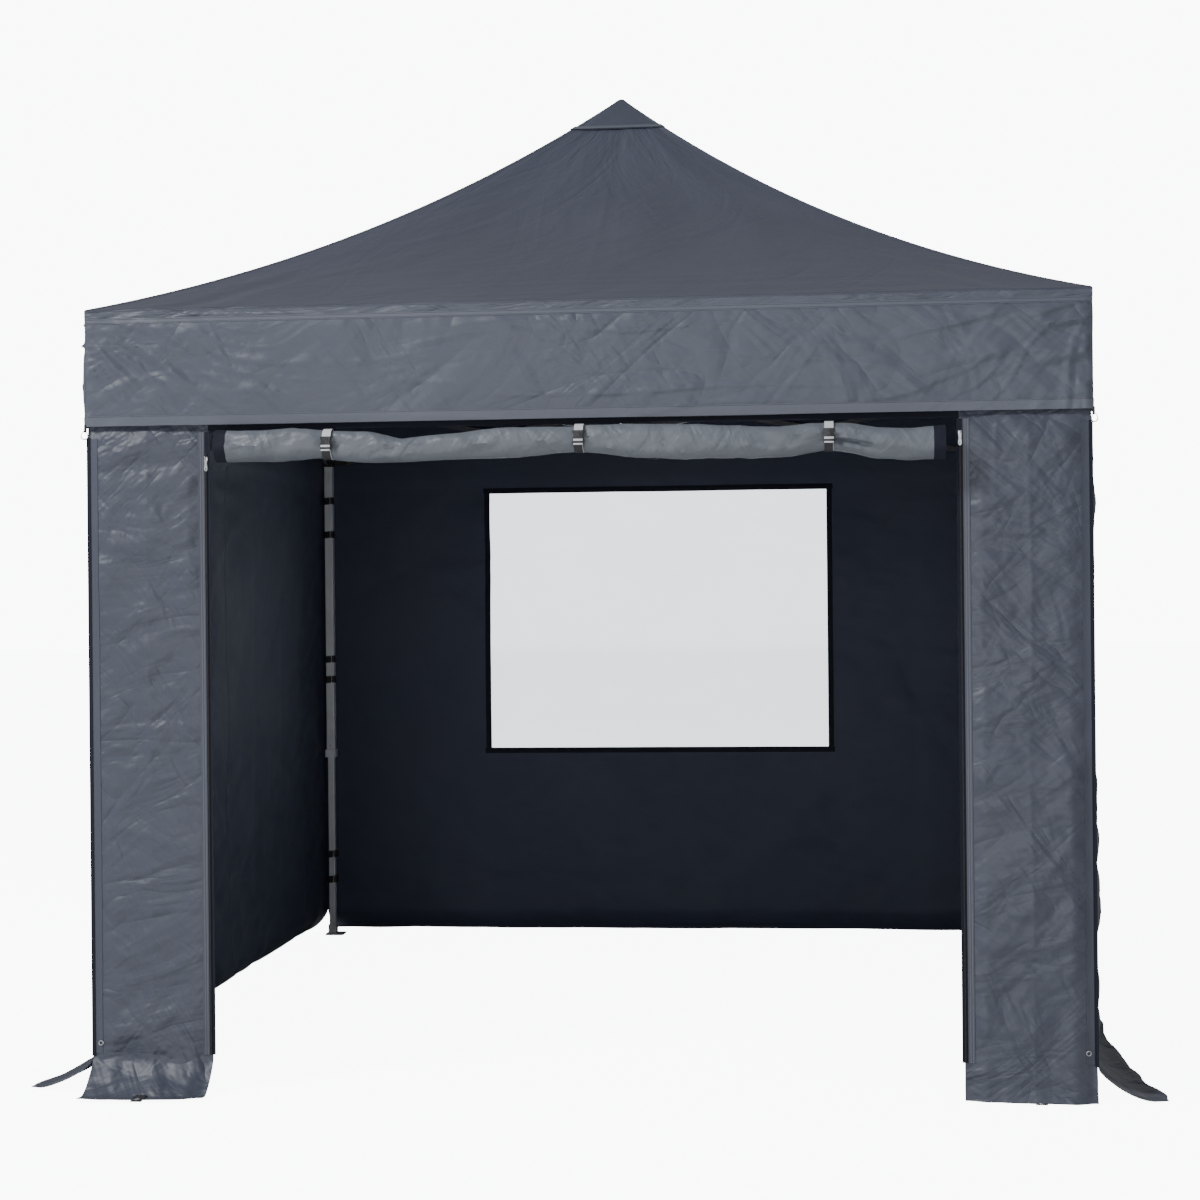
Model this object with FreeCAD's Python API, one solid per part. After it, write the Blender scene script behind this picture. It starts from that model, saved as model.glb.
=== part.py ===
"""Pop-up tent on four telescopic poles: scissor truss frame, mast, sewn canopy and side walls.

Millimetres, +Z up. The origin is on the floor under the middle of the tent. The front is -Y.
The tent has four equal quarters, so each frame piece is drawn once, on the front side or at
the front left pole, and turned about Z for the others.
"""
import FreeCAD, Part
import math
import os

os.makedirs("parts", exist_ok=True)
V = FreeCAD.Vector

# Overall size
HALF = 1500.0            # half of the canopy's width at the eaves
EAVE_Z = 2360.0          # top of the roof fabric at the eaves
ROOF_RISE = 961.0        # from the eaves to the peak of the roof panels
ROOF_SAG = 0.43          # how far the roof lines hang under a straight slope, as a share
CLOTH = 2.0              # thickness given to the fabric solids

# Poles
POLE = 1464.0            # centre of each pole from the tent's middle, both ways
OUTER_TUBE = 36.0
INNER_TUBE = 28.0
TUBE_WALL = 1.5
OUTER_LOW = 800.0
OUTER_TOP = 2340.0
INNER_TOP = 1150.0
FOOT_PLATE = 80.0
FOOT_THICK = 6.0
PEG_HOLE_R = 6.0
PEG_OFFSET = 29.0
FOOT_INSET = 16.0        # from a pole's centre to its plate's centre, towards the tent's middle
BUTTON_Z = 838.0
BUTTON_R = 5.0

# Truss
PIVOT_Z = 2335.0         # height of the top pivots
PIVOT_REACH = 70.0       # from a pole's centre to its pivots
REST_ANGLE = math.radians(9.5)
BAR_RUN = POLE - PIVOT_REACH
BAR_LENGTH = BAR_RUN / math.cos(REST_ANGLE)
TRUSS_DEPTH = BAR_LENGTH * math.sin(REST_ANGLE)
LOW_Z = PIVOT_Z - TRUSS_DEPTH
BAR_HEIGHT = 20.0
BAR_THICK = 10.0
BAR_GAP = 1.0            # from the truss plane to the near face of a bar
PIN_R = 3.0
RUNNING_R = 3.06         # hole that turns on a pin
LOOSE_R = 3.4            # hole at a pivot with play
ARM_PIVOT = 28.0         # from the truss plane to an inner arm's pivot
HUB_PIVOT = PIVOT_REACH - ARM_PIVOT
MAST_R = 19.0

# Canopy and walls
VALANCE_LOW = 2007.0
WALL_FACE = 1495.0       # outer face of the walls
WALL_TOP = 2350.0
SKIRT_TOP = 100.0
SKIRT_REACH = 150.0
DOOR_LEFT = -1120.0
DOOR_RIGHT = 1112.0
DOOR_TOP = 1990.0
WINDOW_HALF = 754.0
WINDOW_LOW = 817.0
WINDOW_HIGH = 1963.0
ROLL_Y = -1545.0
ROLL_Z = 1941.0
ROLL_DEEP = 45.0
ROLL_TALL = 57.0
PATCH_HALF = 180.0

SIDES = ["front", "right", "back", "left"]
CORNERS = ["front_left", "front_right", "back_right", "back_left"]


def box(x0, x1, y0, y1, z0, z1):
    """A box between two corners."""
    return Part.makeBox(x1 - x0, y1 - y0, z1 - z0, V(x0, y0, z0))


def rod(radius, start, end):
    """A round bar between two points."""
    line = end.sub(start)
    return Part.makeCylinder(radius, line.Length, start, line)


def turned(shape, quarter):
    """A copy of the shape turned about Z by quarter turns."""
    copy = shape.copy()
    copy.rotate(V(0, 0, 0), V(0, 0, 1), 90.0 * quarter)
    return copy


def save(shape, name):
    """Writes one sub-part."""
    shape.exportStep("parts/" + name + ".step")


def square_ring(outer, inner, z0, z1):
    """A square tube about the front left pole's axis."""
    o = outer / 2.0
    i = inner / 2.0
    body = box(-POLE - o, -POLE + o, -POLE - o, -POLE + o, z0, z1)
    hole = box(-POLE - i, -POLE + i, -POLE - i, -POLE + i, z0 - 1.0, z1 + 1.0)
    return body.cut(hole)


def rounded_tube(width, wall, z0, z1):
    """A square tube with rounded long edges about the front left pole's axis."""
    half = width / 2.0
    body = box(-POLE - half, -POLE + half, -POLE - half, -POLE + half, z0, z1)
    uprights = [edge for edge in body.Edges if edge.BoundBox.ZLength > (z1 - z0) * 0.9]
    body = body.makeFillet(3.0, uprights)
    inner = half - wall
    hole = box(-POLE - inner, -POLE + inner, -POLE - inner, -POLE + inner, z0 - 1.0, z1 + 1.0)
    return body.cut(hole)


def ear_plates(low, high, z, start):
    """Two cheek plates along X that hold a bar lying between the offsets low and high from the truss plane."""
    plates = []
    for inner_face, outer_face in ((low - 3.4, low - 0.4), (high + 0.4, high + 3.4)):
        plate = box(-POLE + start, -POLE + PIVOT_REACH, -POLE + inner_face, -POLE + outer_face, z - 11.0, z + 11.0)
        tip_start = V(-POLE + PIVOT_REACH, -POLE + inner_face, z)
        tip_end = V(-POLE + PIVOT_REACH, -POLE + outer_face, z)
        plates.append(plate.fuse(rod(11.0, tip_start, tip_end)))
    hole_start = V(-POLE + PIVOT_REACH, -POLE + low - 10.0, z)
    hole_end = V(-POLE + PIVOT_REACH, -POLE + high + 10.0, z)
    return plates[0].fuse(plates[1]).cut(rod(PIN_R + 0.02, hole_start, hole_end))


def headed_pin(x, low, high, z):
    """A pin along Y through the offsets low to high from the front truss plane, with a head at each end."""
    pin = rod(PIN_R, V(x, -POLE + low, z), V(x, -POLE + high, z))
    first = rod(5.5, V(x, -POLE + low - 2.4, z), V(x, -POLE + low, z))
    last = rod(5.5, V(x, -POLE + high, z), V(x, -POLE + high + 2.4, z))
    return pin.fuse(first).fuse(last).removeSplitter()


def to_left_side(shape):
    """Moves a piece drawn at the front side's far end to the left side's end at the same pole."""
    return turned(shape, 3)


def far_end_ears(low, high, z, start):
    """Cheek plates for the bar that ends at the front right pole, drawn on the front side."""
    plates = ear_plates(low, high, z, start)
    return plates.mirror(V(0, 0, 0), V(1, 0, 0))


def outer_layer():
    """Offsets of the bar on the outer side of the truss plane."""
    return (-BAR_GAP - BAR_THICK, -BAR_GAP)


def inner_layer():
    """Offsets of the bar on the inner side of the truss plane."""
    return (BAR_GAP, BAR_GAP + BAR_THICK)


def pole_bracket(z, z0, z1, half, bore, near, far):
    """A corner block round the pole with ears for the bars of the two sides that meet there."""
    body = box(-POLE - half, -POLE + half, -POLE - half, -POLE + half, z0, z1)
    body = body.fuse(ear_plates(near[0], near[1], z, half - 2.0))
    body = body.fuse(to_left_side(far_end_ears(far[0], far[1], z, half - 2.0)))
    hole = box(-POLE - bore, -POLE + bore, -POLE - bore, -POLE + bore, z0 - 1.0, z1 + 1.0)
    return body.cut(hole).removeSplitter()


def pivot_pins(z, near, far):
    """The two pins in a corner block's ears."""
    first = headed_pin(-POLE + PIVOT_REACH, near[0] - 3.6, near[1] + 3.6, z)
    second = headed_pin(POLE - PIVOT_REACH, far[0] - 3.6, far[1] + 3.6, z)
    return [first, to_left_side(second)]


def outer_pole():
    """Outer tube, top corner bracket with cap, pivot pins and the collar at the foot of the tube."""
    tube = rounded_tube(OUTER_TUBE, TUBE_WALL, OUTER_LOW, OUTER_TOP)
    opening_start = V(-POLE, -POLE, BUTTON_Z)
    opening_end = V(-POLE + OUTER_TUBE, -POLE, BUTTON_Z)
    tube = tube.cut(rod(BUTTON_R + 0.15, opening_start, opening_end))
    bracket = pole_bracket(PIVOT_Z, 2296.0, OUTER_TOP, 22.0, OUTER_TUBE / 2.0 + 0.02, outer_layer(), inner_layer())
    cap = box(-POLE - 22.0, -POLE + 22.0, -POLE - 22.0, -POLE + 22.0, OUTER_TOP + 0.02, OUTER_TOP + 9.0)
    top_edges = [edge for edge in cap.Edges if edge.BoundBox.ZMin > OUTER_TOP + 8.0]
    cap = cap.makeFillet(3.0, top_edges)
    collar = square_ring(46.0, OUTER_TUBE + 0.04, OUTER_LOW, 822.0)
    lip = square_ring(46.0, INNER_TUBE + 0.3, 788.0, OUTER_LOW - 0.02)
    collar = collar.fuse(lip).fuse(square_ring(46.0, OUTER_TUBE + 0.04, OUTER_LOW - 0.02, OUTER_LOW + 1.0))
    collar = collar.removeSplitter()
    edges = [edge for edge in collar.Edges if edge.BoundBox.ZLength < 0.1 and edge.BoundBox.ZMin > 821.0]
    outer_edges = [edge for edge in edges if edge.Length > 40.0]
    collar = collar.makeFillet(2.5, outer_edges)
    return Part.makeCompound([tube, bracket, cap, collar] + pivot_pins(PIVOT_Z, outer_layer(), inner_layer()))


def slider():
    """Block that runs up and down the outer tube and carries the lower ends of the truss."""
    z = LOW_Z
    block = pole_bracket(z, z - 20.0, z + 26.0, 24.0, OUTER_TUBE / 2.0 + 0.08, inner_layer(), outer_layer())
    return Part.makeCompound([block] + pivot_pins(z, inner_layer(), outer_layer()))


def inner_pole():
    """Inner tube with its guide plug at the top, and the foot with its plate."""
    tube = rounded_tube(INNER_TUBE, TUBE_WALL, FOOT_THICK + 0.02, INNER_TOP)
    guide = square_ring(32.6, INNER_TUBE + 0.04, INNER_TOP - 24.0, INNER_TOP)
    socket = square_ring(36.0, INNER_TUBE + 0.04, FOOT_THICK - 0.5, 42.0)
    half = FOOT_PLATE / 2.0
    middle = -POLE + FOOT_INSET
    plate = box(middle - half, middle + half, middle - half, middle + half, 0.0, FOOT_THICK)
    corners = [edge for edge in plate.Edges if edge.BoundBox.ZLength > 1.0]
    plate = plate.makeFillet(8.0, corners)
    plate = plate.fuse(socket)
    for side in (-1.0, 1.0):
        hole_at = V(middle + side * PEG_OFFSET, middle - side * PEG_OFFSET, -1.0)
        plate = plate.cut(Part.makeCylinder(PEG_HOLE_R, FOOT_THICK + 2.0, hole_at))
    return Part.makeCompound([tube, guide, plate.removeSplitter()])


def snap_button():
    """Round button in the side of the outer tube just above the collar."""
    x = -POLE + OUTER_TUBE / 2.0
    stem = rod(BUTTON_R, V(x - 1.2, -POLE, BUTTON_Z), V(x + 4.5, -POLE, BUTTON_Z))
    rim = [edge for edge in stem.Edges if edge.BoundBox.XMin > x + 4.0]
    return stem.makeFillet(1.2, rim)


def bar(layer, from_x, from_z, to_x, to_z, first_r, middle_r, last_r):
    """A truss bar: a rectangular tube with solid rounded ends and a solid middle where the pins pass."""
    y0 = -POLE + layer[0]
    y1 = -POLE + layer[1]
    half = BAR_HEIGHT / 2.0
    body = box(0.0, BAR_LENGTH, y0, y1, -half, half)
    body = body.fuse(rod(half, V(0, y0, 0), V(0, y1, 0)))
    body = body.fuse(rod(half, V(BAR_LENGTH, y0, 0), V(BAR_LENGTH, y1, 0)))
    body = body.removeSplitter()
    middle = BAR_LENGTH / 2.0
    inner = half - TUBE_WALL
    body = body.cut(box(24.0, middle - 18.0, y0 + TUBE_WALL, y1 - TUBE_WALL, -inner, inner))
    body = body.cut(box(middle + 18.0, BAR_LENGTH - 24.0, y0 + TUBE_WALL, y1 - TUBE_WALL, -inner, inner))
    for at, radius in ((0.0, first_r), (middle, middle_r), (BAR_LENGTH, last_r)):
        body = body.cut(rod(radius, V(at, y0 - 1.0, 0), V(at, y1 + 1.0, 0)))
    slope = math.degrees(math.atan2(to_z - from_z, to_x - from_x))
    body.rotate(V(0, 0, 0), V(0, 1, 0), -slope)
    body.translate(V(from_x, 0, from_z))
    return body


def side_bars(near_hole, far_hole):
    """The four bars of the front side, as name and shape, with the pins that belong to them."""
    start = -POLE + PIVOT_REACH
    end = POLE - PIVOT_REACH
    cross_z = (PIVOT_Z + LOW_Z) / 2.0
    low = -BAR_GAP - BAR_THICK - 0.3
    high = BAR_GAP + BAR_THICK + 0.3
    near_cross = headed_pin(start + BAR_RUN / 2.0, low, high, cross_z)
    far_cross = headed_pin(end - BAR_RUN / 2.0, low, high, cross_z)
    foot_pin = headed_pin(0.0, low, high, LOW_Z)
    fixed = PIN_R + 0.02
    near_upper = bar(outer_layer(), start, PIVOT_Z, 0.0, LOW_Z, near_hole, fixed, fixed)
    near_lower = bar(inner_layer(), start, LOW_Z, 0.0, PIVOT_Z, RUNNING_R, RUNNING_R, RUNNING_R)
    far_upper = bar(inner_layer(), 0.0, LOW_Z, end, PIVOT_Z, RUNNING_R, fixed, far_hole)
    far_lower = bar(outer_layer(), 0.0, PIVOT_Z, end, LOW_Z, LOOSE_R, RUNNING_R, LOOSE_R)
    return {
        "near_top_bar": Part.makeCompound([near_upper, near_cross, foot_pin]),
        "near_low_bar": near_lower,
        "far_top_bar": Part.makeCompound([far_upper, far_cross]),
        "far_low_bar": far_lower,
    }


def middle_bracket():
    """Bracket at the middle of the front side that joins the two lower bars and the inner arm."""
    low = -BAR_GAP - BAR_THICK
    high = BAR_GAP + BAR_THICK
    y = -POLE
    front = box(-12.0, 12.0, y + low - 3.6, y + low - 0.6, PIVOT_Z - 13.0, PIVOT_Z + 13.0)
    rear = box(-12.0, 12.0, y + high + 0.6, y + high + 3.6, PIVOT_Z - 13.0, PIVOT_Z + 13.0)
    bridge = box(-12.0, 12.0, y + low - 3.6, y + high + 3.6, PIVOT_Z + 11.0, PIVOT_Z + 14.0)
    body = front.fuse(rear).fuse(bridge)
    for x0, x1 in ((-8.8, -5.6), (5.6, 8.8)):
        cheek = box(x0, x1, y + high + 2.0, y + ARM_PIVOT, PIVOT_Z - 11.0, PIVOT_Z + 11.0)
        tip = rod(11.0, V(x0, y + ARM_PIVOT, PIVOT_Z), V(x1, y + ARM_PIVOT, PIVOT_Z))
        body = body.fuse(cheek).fuse(tip)
    body = body.cut(rod(PIN_R + 0.02, V(0, y - 30.0, PIVOT_Z), V(0, y + 16.0, PIVOT_Z)))
    body = body.cut(rod(PIN_R + 0.02, V(-20.0, y + ARM_PIVOT, PIVOT_Z), V(20.0, y + ARM_PIVOT, PIVOT_Z)))
    main_pin = rod(PIN_R, V(0, y + low - 3.9, PIVOT_Z), V(0, y + high + 3.6, PIVOT_Z))
    main_head = rod(5.5, V(0, y + low - 6.3, PIVOT_Z), V(0, y + low - 3.9, PIVOT_Z))
    main_pin = main_pin.fuse(main_head).removeSplitter()
    arm_pin = cross_pin(y + ARM_PIVOT, PIVOT_Z)
    return Part.makeCompound([body.removeSplitter(), main_pin, arm_pin])


def cross_pin(y, z):
    """A pin along X with a head at each end, for an inner arm's pivot."""
    pin = rod(PIN_R, V(-9.1, y, z), V(9.1, y, z))
    first = rod(5.0, V(-11.3, y, z), V(-9.1, y, z))
    last = rod(5.0, V(9.1, y, z), V(11.3, y, z))
    return pin.fuse(first).fuse(last).removeSplitter()


def inner_arm(hub_r):
    """Arm from the middle bracket of the front side down to the centre hub."""
    half = BAR_HEIGHT / 2.0
    body = box(-5.0, 5.0, 0.0, BAR_LENGTH, -half, half)
    body = body.fuse(rod(half, V(-5.0, 0, 0), V(5.0, 0, 0)))
    body = body.fuse(rod(half, V(-5.0, BAR_LENGTH, 0), V(5.0, BAR_LENGTH, 0)))
    body = body.removeSplitter()
    inner = half - TUBE_WALL
    body = body.cut(box(-5.0 + TUBE_WALL, 5.0 - TUBE_WALL, 24.0, BAR_LENGTH - 24.0, -inner, inner))
    body = body.cut(rod(RUNNING_R, V(-9.0, 0, 0), V(9.0, 0, 0)))
    body = body.cut(rod(hub_r, V(-9.0, BAR_LENGTH, 0), V(9.0, BAR_LENGTH, 0)))
    body.rotate(V(0, 0, 0), V(1, 0, 0), -math.degrees(REST_ANGLE))
    body.translate(V(0, -POLE + ARM_PIVOT, PIVOT_Z))
    return body


def centre_hub():
    """Hub that the four inner arms meet at, with a socket for the mast."""
    body = Part.makeCylinder(26.0, 40.0, V(0, 0, LOW_Z - 16.0))
    cheeks = []
    for x0, x1 in ((-8.8, -5.6), (5.6, 8.8)):
        cheek = box(x0, x1, -HUB_PIVOT, -20.0, LOW_Z - 11.0, LOW_Z + 11.0)
        tip = rod(11.0, V(x0, -HUB_PIVOT, LOW_Z), V(x1, -HUB_PIVOT, LOW_Z))
        cheeks.append(cheek.fuse(tip))
    ears = cheeks[0].fuse(cheeks[1]).cut(rod(PIN_R + 0.02, V(-20.0, -HUB_PIVOT, LOW_Z), V(20.0, -HUB_PIVOT, LOW_Z)))
    pins = []
    for quarter in range(4):
        body = body.fuse(turned(ears, quarter))
        pins.append(turned(cross_pin(-HUB_PIVOT, LOW_Z), quarter))
    body = body.cut(Part.makeCylinder(MAST_R + 0.05, 60.0, V(0, 0, LOW_Z - 6.0)))
    return Part.makeCompound([body.removeSplitter()] + pins)


def mast():
    """Mast tube with a round head that pushes the roof up."""
    foot_z = LOW_Z - 5.9
    head_z = EAVE_Z + ROOF_RISE - 46.0
    tube = Part.makeCylinder(MAST_R, head_z - 8.0 - foot_z, V(0, 0, foot_z))
    tube = tube.cut(Part.makeCylinder(MAST_R - TUBE_WALL, 3000.0, V(0, 0, foot_z - 1.0)))
    head = Part.makeSphere(30.0, V(0, 0, head_z))
    head = head.common(box(-40.0, 40.0, -40.0, 40.0, head_z - 8.0, head_z + 40.0))
    spigot = Part.makeCylinder(MAST_R - TUBE_WALL - 0.05, 40.0, V(0, 0, head_z - 48.0))
    head = head.fuse(spigot).removeSplitter()
    return Part.makeCompound([tube, head])


def roof_height(share):
    """Height of the roof's outer face at a share of the way from the eaves to the peak."""
    return EAVE_Z + ROOF_RISE * (share - ROOF_SAG * share * (1.0 - share))


def roof_profile(drop):
    """The roof's curve from the eaves to the peak in the YZ plane, lowered by drop."""
    curve = Part.BezierCurve()
    middle_z = EAVE_Z + ROOF_RISE * (1.0 - ROOF_SAG) / 2.0
    poles = [V(0, -HALF, EAVE_Z - drop), V(0, -HALF / 2.0, middle_z - drop), V(0, 0, EAVE_Z + ROOF_RISE - drop)]
    curve.setPoles(poles)
    return curve.toShape()


def roof_panel():
    """Front roof panel: a triangle that hangs in a shallow curve from the peak to the eaves."""
    upper = roof_profile(0.0)
    lower = roof_profile(CLOTH)
    eave_side = Part.makeLine(V(0, -HALF, EAVE_Z - CLOTH), V(0, -HALF, EAVE_Z))
    peak_side = Part.makeLine(V(0, 0, EAVE_Z + ROOF_RISE), V(0, 0, EAVE_Z + ROOF_RISE - CLOTH))
    face = Part.Face(Part.Wire(Part.__sortEdges__([upper, peak_side, lower, eave_side])))
    face.translate(V(-HALF, 0, 0))
    strip = face.extrude(V(2.0 * HALF, 0, 0))
    seam = 0.4
    corners = [V(-HALF + seam, -HALF, 2000.0), V(HALF - seam, -HALF, 2000.0), V(0, -seam, 2000.0)]
    plan = Part.Face(Part.makePolygon(corners + [corners[0]]))
    return strip.common(plan.extrude(V(0, 0, 2000.0)))


def pyramid(half, low_z, top_z):
    """A four-sided pyramid with its base half-width and its two heights."""
    base = [V(-half, -half, low_z), V(half, -half, low_z), V(half, half, low_z), V(-half, half, low_z)]
    top = V(0, 0, top_z)
    faces = [Part.Face(Part.makePolygon(base + [base[0]]))]
    for index in range(4):
        first = base[index]
        second = base[(index + 1) % 4]
        faces.append(Part.Face(Part.makePolygon([first, second, top, first])))
    return Part.makeSolid(Part.makeShell(faces))


def peak_patch():
    """Square reinforcing cap over the peak of the roof."""
    foot = roof_height(1.0 - PATCH_HALF / HALF)
    peak = EAVE_Z + ROOF_RISE
    outer = pyramid(PATCH_HALF, foot + 3.0, peak + 4.0)
    inner = pyramid(PATCH_HALF + 0.01, foot + 1.0, peak + 1.6)
    skin = outer.cut(inner)
    low_cut = box(-HALF, HALF, -HALF, HALF, foot - 50.0, foot + 3.0)
    return skin.cut(low_cut)


def valance():
    """Straight fabric band that hangs from the front eave."""
    return box(-HALF, HALF - CLOTH - 1.4, -HALF, -HALF + CLOTH, VALANCE_LOW, EAVE_Z - CLOTH - 0.5)


def wall():
    """Plain front wall with the skirt that spreads outward at its foot."""
    y = -WALL_FACE
    outline = [
        V(0, y, WALL_TOP),
        V(0, y + CLOTH, WALL_TOP),
        V(0, y + CLOTH, SKIRT_TOP),
        V(0, y - SKIRT_REACH + 2.0, 1.0),
        V(0, y - SKIRT_REACH, 1.6),
        V(0, y, SKIRT_TOP + 1.2),
    ]
    face = Part.Face(Part.makePolygon(outline + [outline[0]]))
    face.translate(V(-WALL_FACE, 0, 0))
    return face.extrude(V(2.0 * WALL_FACE - CLOTH - 1.4, 0, 0))


def front_wall():
    """Front wall with its door opening."""
    opening = box(DOOR_LEFT, DOOR_RIGHT, -HALF - 300.0, -HALF + 50.0, -10.0, DOOR_TOP)
    return wall().cut(opening)


def window_wall():
    """Wall with the window opening, drawn on the front side."""
    opening = box(-WINDOW_HALF, WINDOW_HALF, -HALF - 50.0, -HALF + 50.0, WINDOW_LOW, WINDOW_HIGH)
    return wall().cut(opening)


def window():
    """Clear film that fills the window opening, drawn on the front side."""
    gap = 0.4
    y = -WALL_FACE
    return box(-WINDOW_HALF + gap, WINDOW_HALF - gap, y + 0.4, y + 1.6, WINDOW_LOW + gap, WINDOW_HIGH - gap)


def oval_roll(deep, tall, x0, x1):
    """A roll along X with an oval section."""
    ring = Part.Ellipse(V(0, 0, 0), tall, deep).toShape()
    face = Part.Face(Part.Wire([ring]))
    face.rotate(V(0, 0, 0), V(0, 1, 0), 90.0)
    face.translate(V(x0, ROLL_Y, ROLL_Z))
    return face.extrude(V(x1 - x0, 0, 0))


def door_roll():
    """The door rolled up and tied under the valance."""
    return oval_roll(ROLL_DEEP, ROLL_TALL, -1080.0, 1072.0)


def door_straps():
    """Three webbing loops round the roll, each with a buckle on its front."""
    loops = []
    for x in (-740.0, 10.0, 738.0):
        outer = oval_roll(ROLL_DEEP + 2.4, ROLL_TALL + 2.4, x - 14.0, x + 14.0)
        inner = oval_roll(ROLL_DEEP + 0.5, ROLL_TALL + 0.5, x - 15.0, x + 15.0)
        loop = outer.cut(inner)
        buckle = box(x - 19.0, x + 19.0, ROLL_Y - ROLL_DEEP - 7.5, ROLL_Y - ROLL_DEEP - 1.5, ROLL_Z - 16.0, ROLL_Z + 16.0)
        loops.append(loop.fuse(buckle).removeSplitter())
    return Part.makeCompound(loops)


def zip_puller(x, top):
    """Zip slider with its hanging pull tab, on the outer face of the wall beside the door."""
    y = -WALL_FACE - 0.4
    body = box(x - 5.0, x + 5.0, y - 4.5, y, top - 14.0, top)
    tab = box(x - 3.5, x + 3.5, y - 4.0, y - 2.4, top - 44.0, top - 12.0)
    return body.fuse(tab).removeSplitter()


def build():
    """Writes every sub-part."""
    pole_shape = outer_pole()
    foot_shape = inner_pole()
    button_shape = snap_button()
    slider_shape = slider()
    for quarter, corner in enumerate(CORNERS):
        save(turned(pole_shape, quarter), "outer_pole_" + corner)
        save(turned(foot_shape, quarter), "inner_pole_" + corner)
        save(turned(button_shape, quarter), "snap_button_" + corner)
        save(turned(slider_shape, quarter), "slider_" + corner)
    bars = side_bars(RUNNING_R, RUNNING_R)
    loose_bars = side_bars(LOOSE_R, RUNNING_R)
    bracket_shape = middle_bracket()
    panel_shape = roof_panel()
    valance_shape = valance()
    for quarter, side in enumerate(SIDES):
        side_set = loose_bars if side == "left" else bars
        for name, shape in side_set.items():
            save(turned(shape, quarter), side + "_" + name)
        save(turned(bracket_shape, quarter), side + "_middle_bracket")
        hub_hole = RUNNING_R if side == "front" else LOOSE_R
        save(turned(inner_arm(hub_hole), quarter), side + "_inner_arm")
        save(turned(panel_shape, quarter), side + "_roof_panel")
        save(turned(valance_shape, quarter), side + "_valance")
    save(centre_hub(), "centre_hub")
    save(mast(), "mast")
    save(peak_patch(), "peak_patch")
    save(front_wall(), "front_wall")
    save(turned(wall(), 1), "right_wall")
    save(turned(window_wall(), 2), "back_wall")
    save(turned(wall(), 3), "left_wall")
    save(turned(window(), 2), "back_window")
    save(door_roll(), "door_roll")
    save(door_straps(), "door_straps")
    save(zip_puller(-1128.0, 1912.0), "zip_puller_left")
    save(zip_puller(1117.0, 1952.0), "zip_puller_right")


build()
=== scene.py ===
"""Visual model of a square pop-up tent: coated cloth roof, valance and walls over a folding metal frame."""
import logging
import math
from dataclasses import dataclass
from enum import Enum
from typing import Callable, Dict, List, Optional, Sequence, Tuple

import bpy
import numpy as np
from mathutils import Matrix, Vector


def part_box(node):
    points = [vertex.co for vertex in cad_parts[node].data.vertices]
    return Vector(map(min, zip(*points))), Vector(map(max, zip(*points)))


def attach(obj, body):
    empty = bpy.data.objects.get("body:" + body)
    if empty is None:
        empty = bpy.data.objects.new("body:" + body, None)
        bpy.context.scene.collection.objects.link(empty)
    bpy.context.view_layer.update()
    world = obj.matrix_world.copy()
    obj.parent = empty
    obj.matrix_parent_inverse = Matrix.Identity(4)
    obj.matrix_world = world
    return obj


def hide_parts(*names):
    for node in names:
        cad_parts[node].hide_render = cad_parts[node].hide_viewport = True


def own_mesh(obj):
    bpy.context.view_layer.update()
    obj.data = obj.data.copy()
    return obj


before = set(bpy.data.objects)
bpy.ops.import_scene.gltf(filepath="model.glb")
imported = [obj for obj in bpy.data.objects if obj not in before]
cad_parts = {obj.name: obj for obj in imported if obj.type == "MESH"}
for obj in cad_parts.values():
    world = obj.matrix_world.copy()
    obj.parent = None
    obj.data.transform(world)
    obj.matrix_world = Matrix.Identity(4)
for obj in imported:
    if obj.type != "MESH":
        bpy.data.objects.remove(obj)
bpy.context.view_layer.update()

logging.basicConfig(level=logging.INFO, format="%(message)s")
LOG = logging.getLogger("tent")

Colour = Tuple[float, float, float]
Placer = Callable[[np.ndarray, np.ndarray], np.ndarray]


class Side(Enum):
    """A side of the tent, as quarter turns from the front."""

    FRONT = 0
    RIGHT = 1
    BACK = 2
    LEFT = 3

    @property
    def word(self) -> str:
        """The side's name in lower case."""
        return self.name.lower()

    @property
    def run(self) -> Tuple[float, float, float]:
        """The horizontal direction along this side."""
        return (1.0, 0.0, 0.0) if self.value % 2 == 0 else (0.0, 1.0, 0.0)


SKIRT_LENGTH = 0.17
SKIRT_SLACK = 0.07
CLOTH_THICK = 0.0012
TAPE_THICK = 0.0010
CORNERS: Tuple[str, ...] = ("front_left", "front_right", "back_right", "back_left")


# ---------------------------------------------------------------- modelling bench


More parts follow.
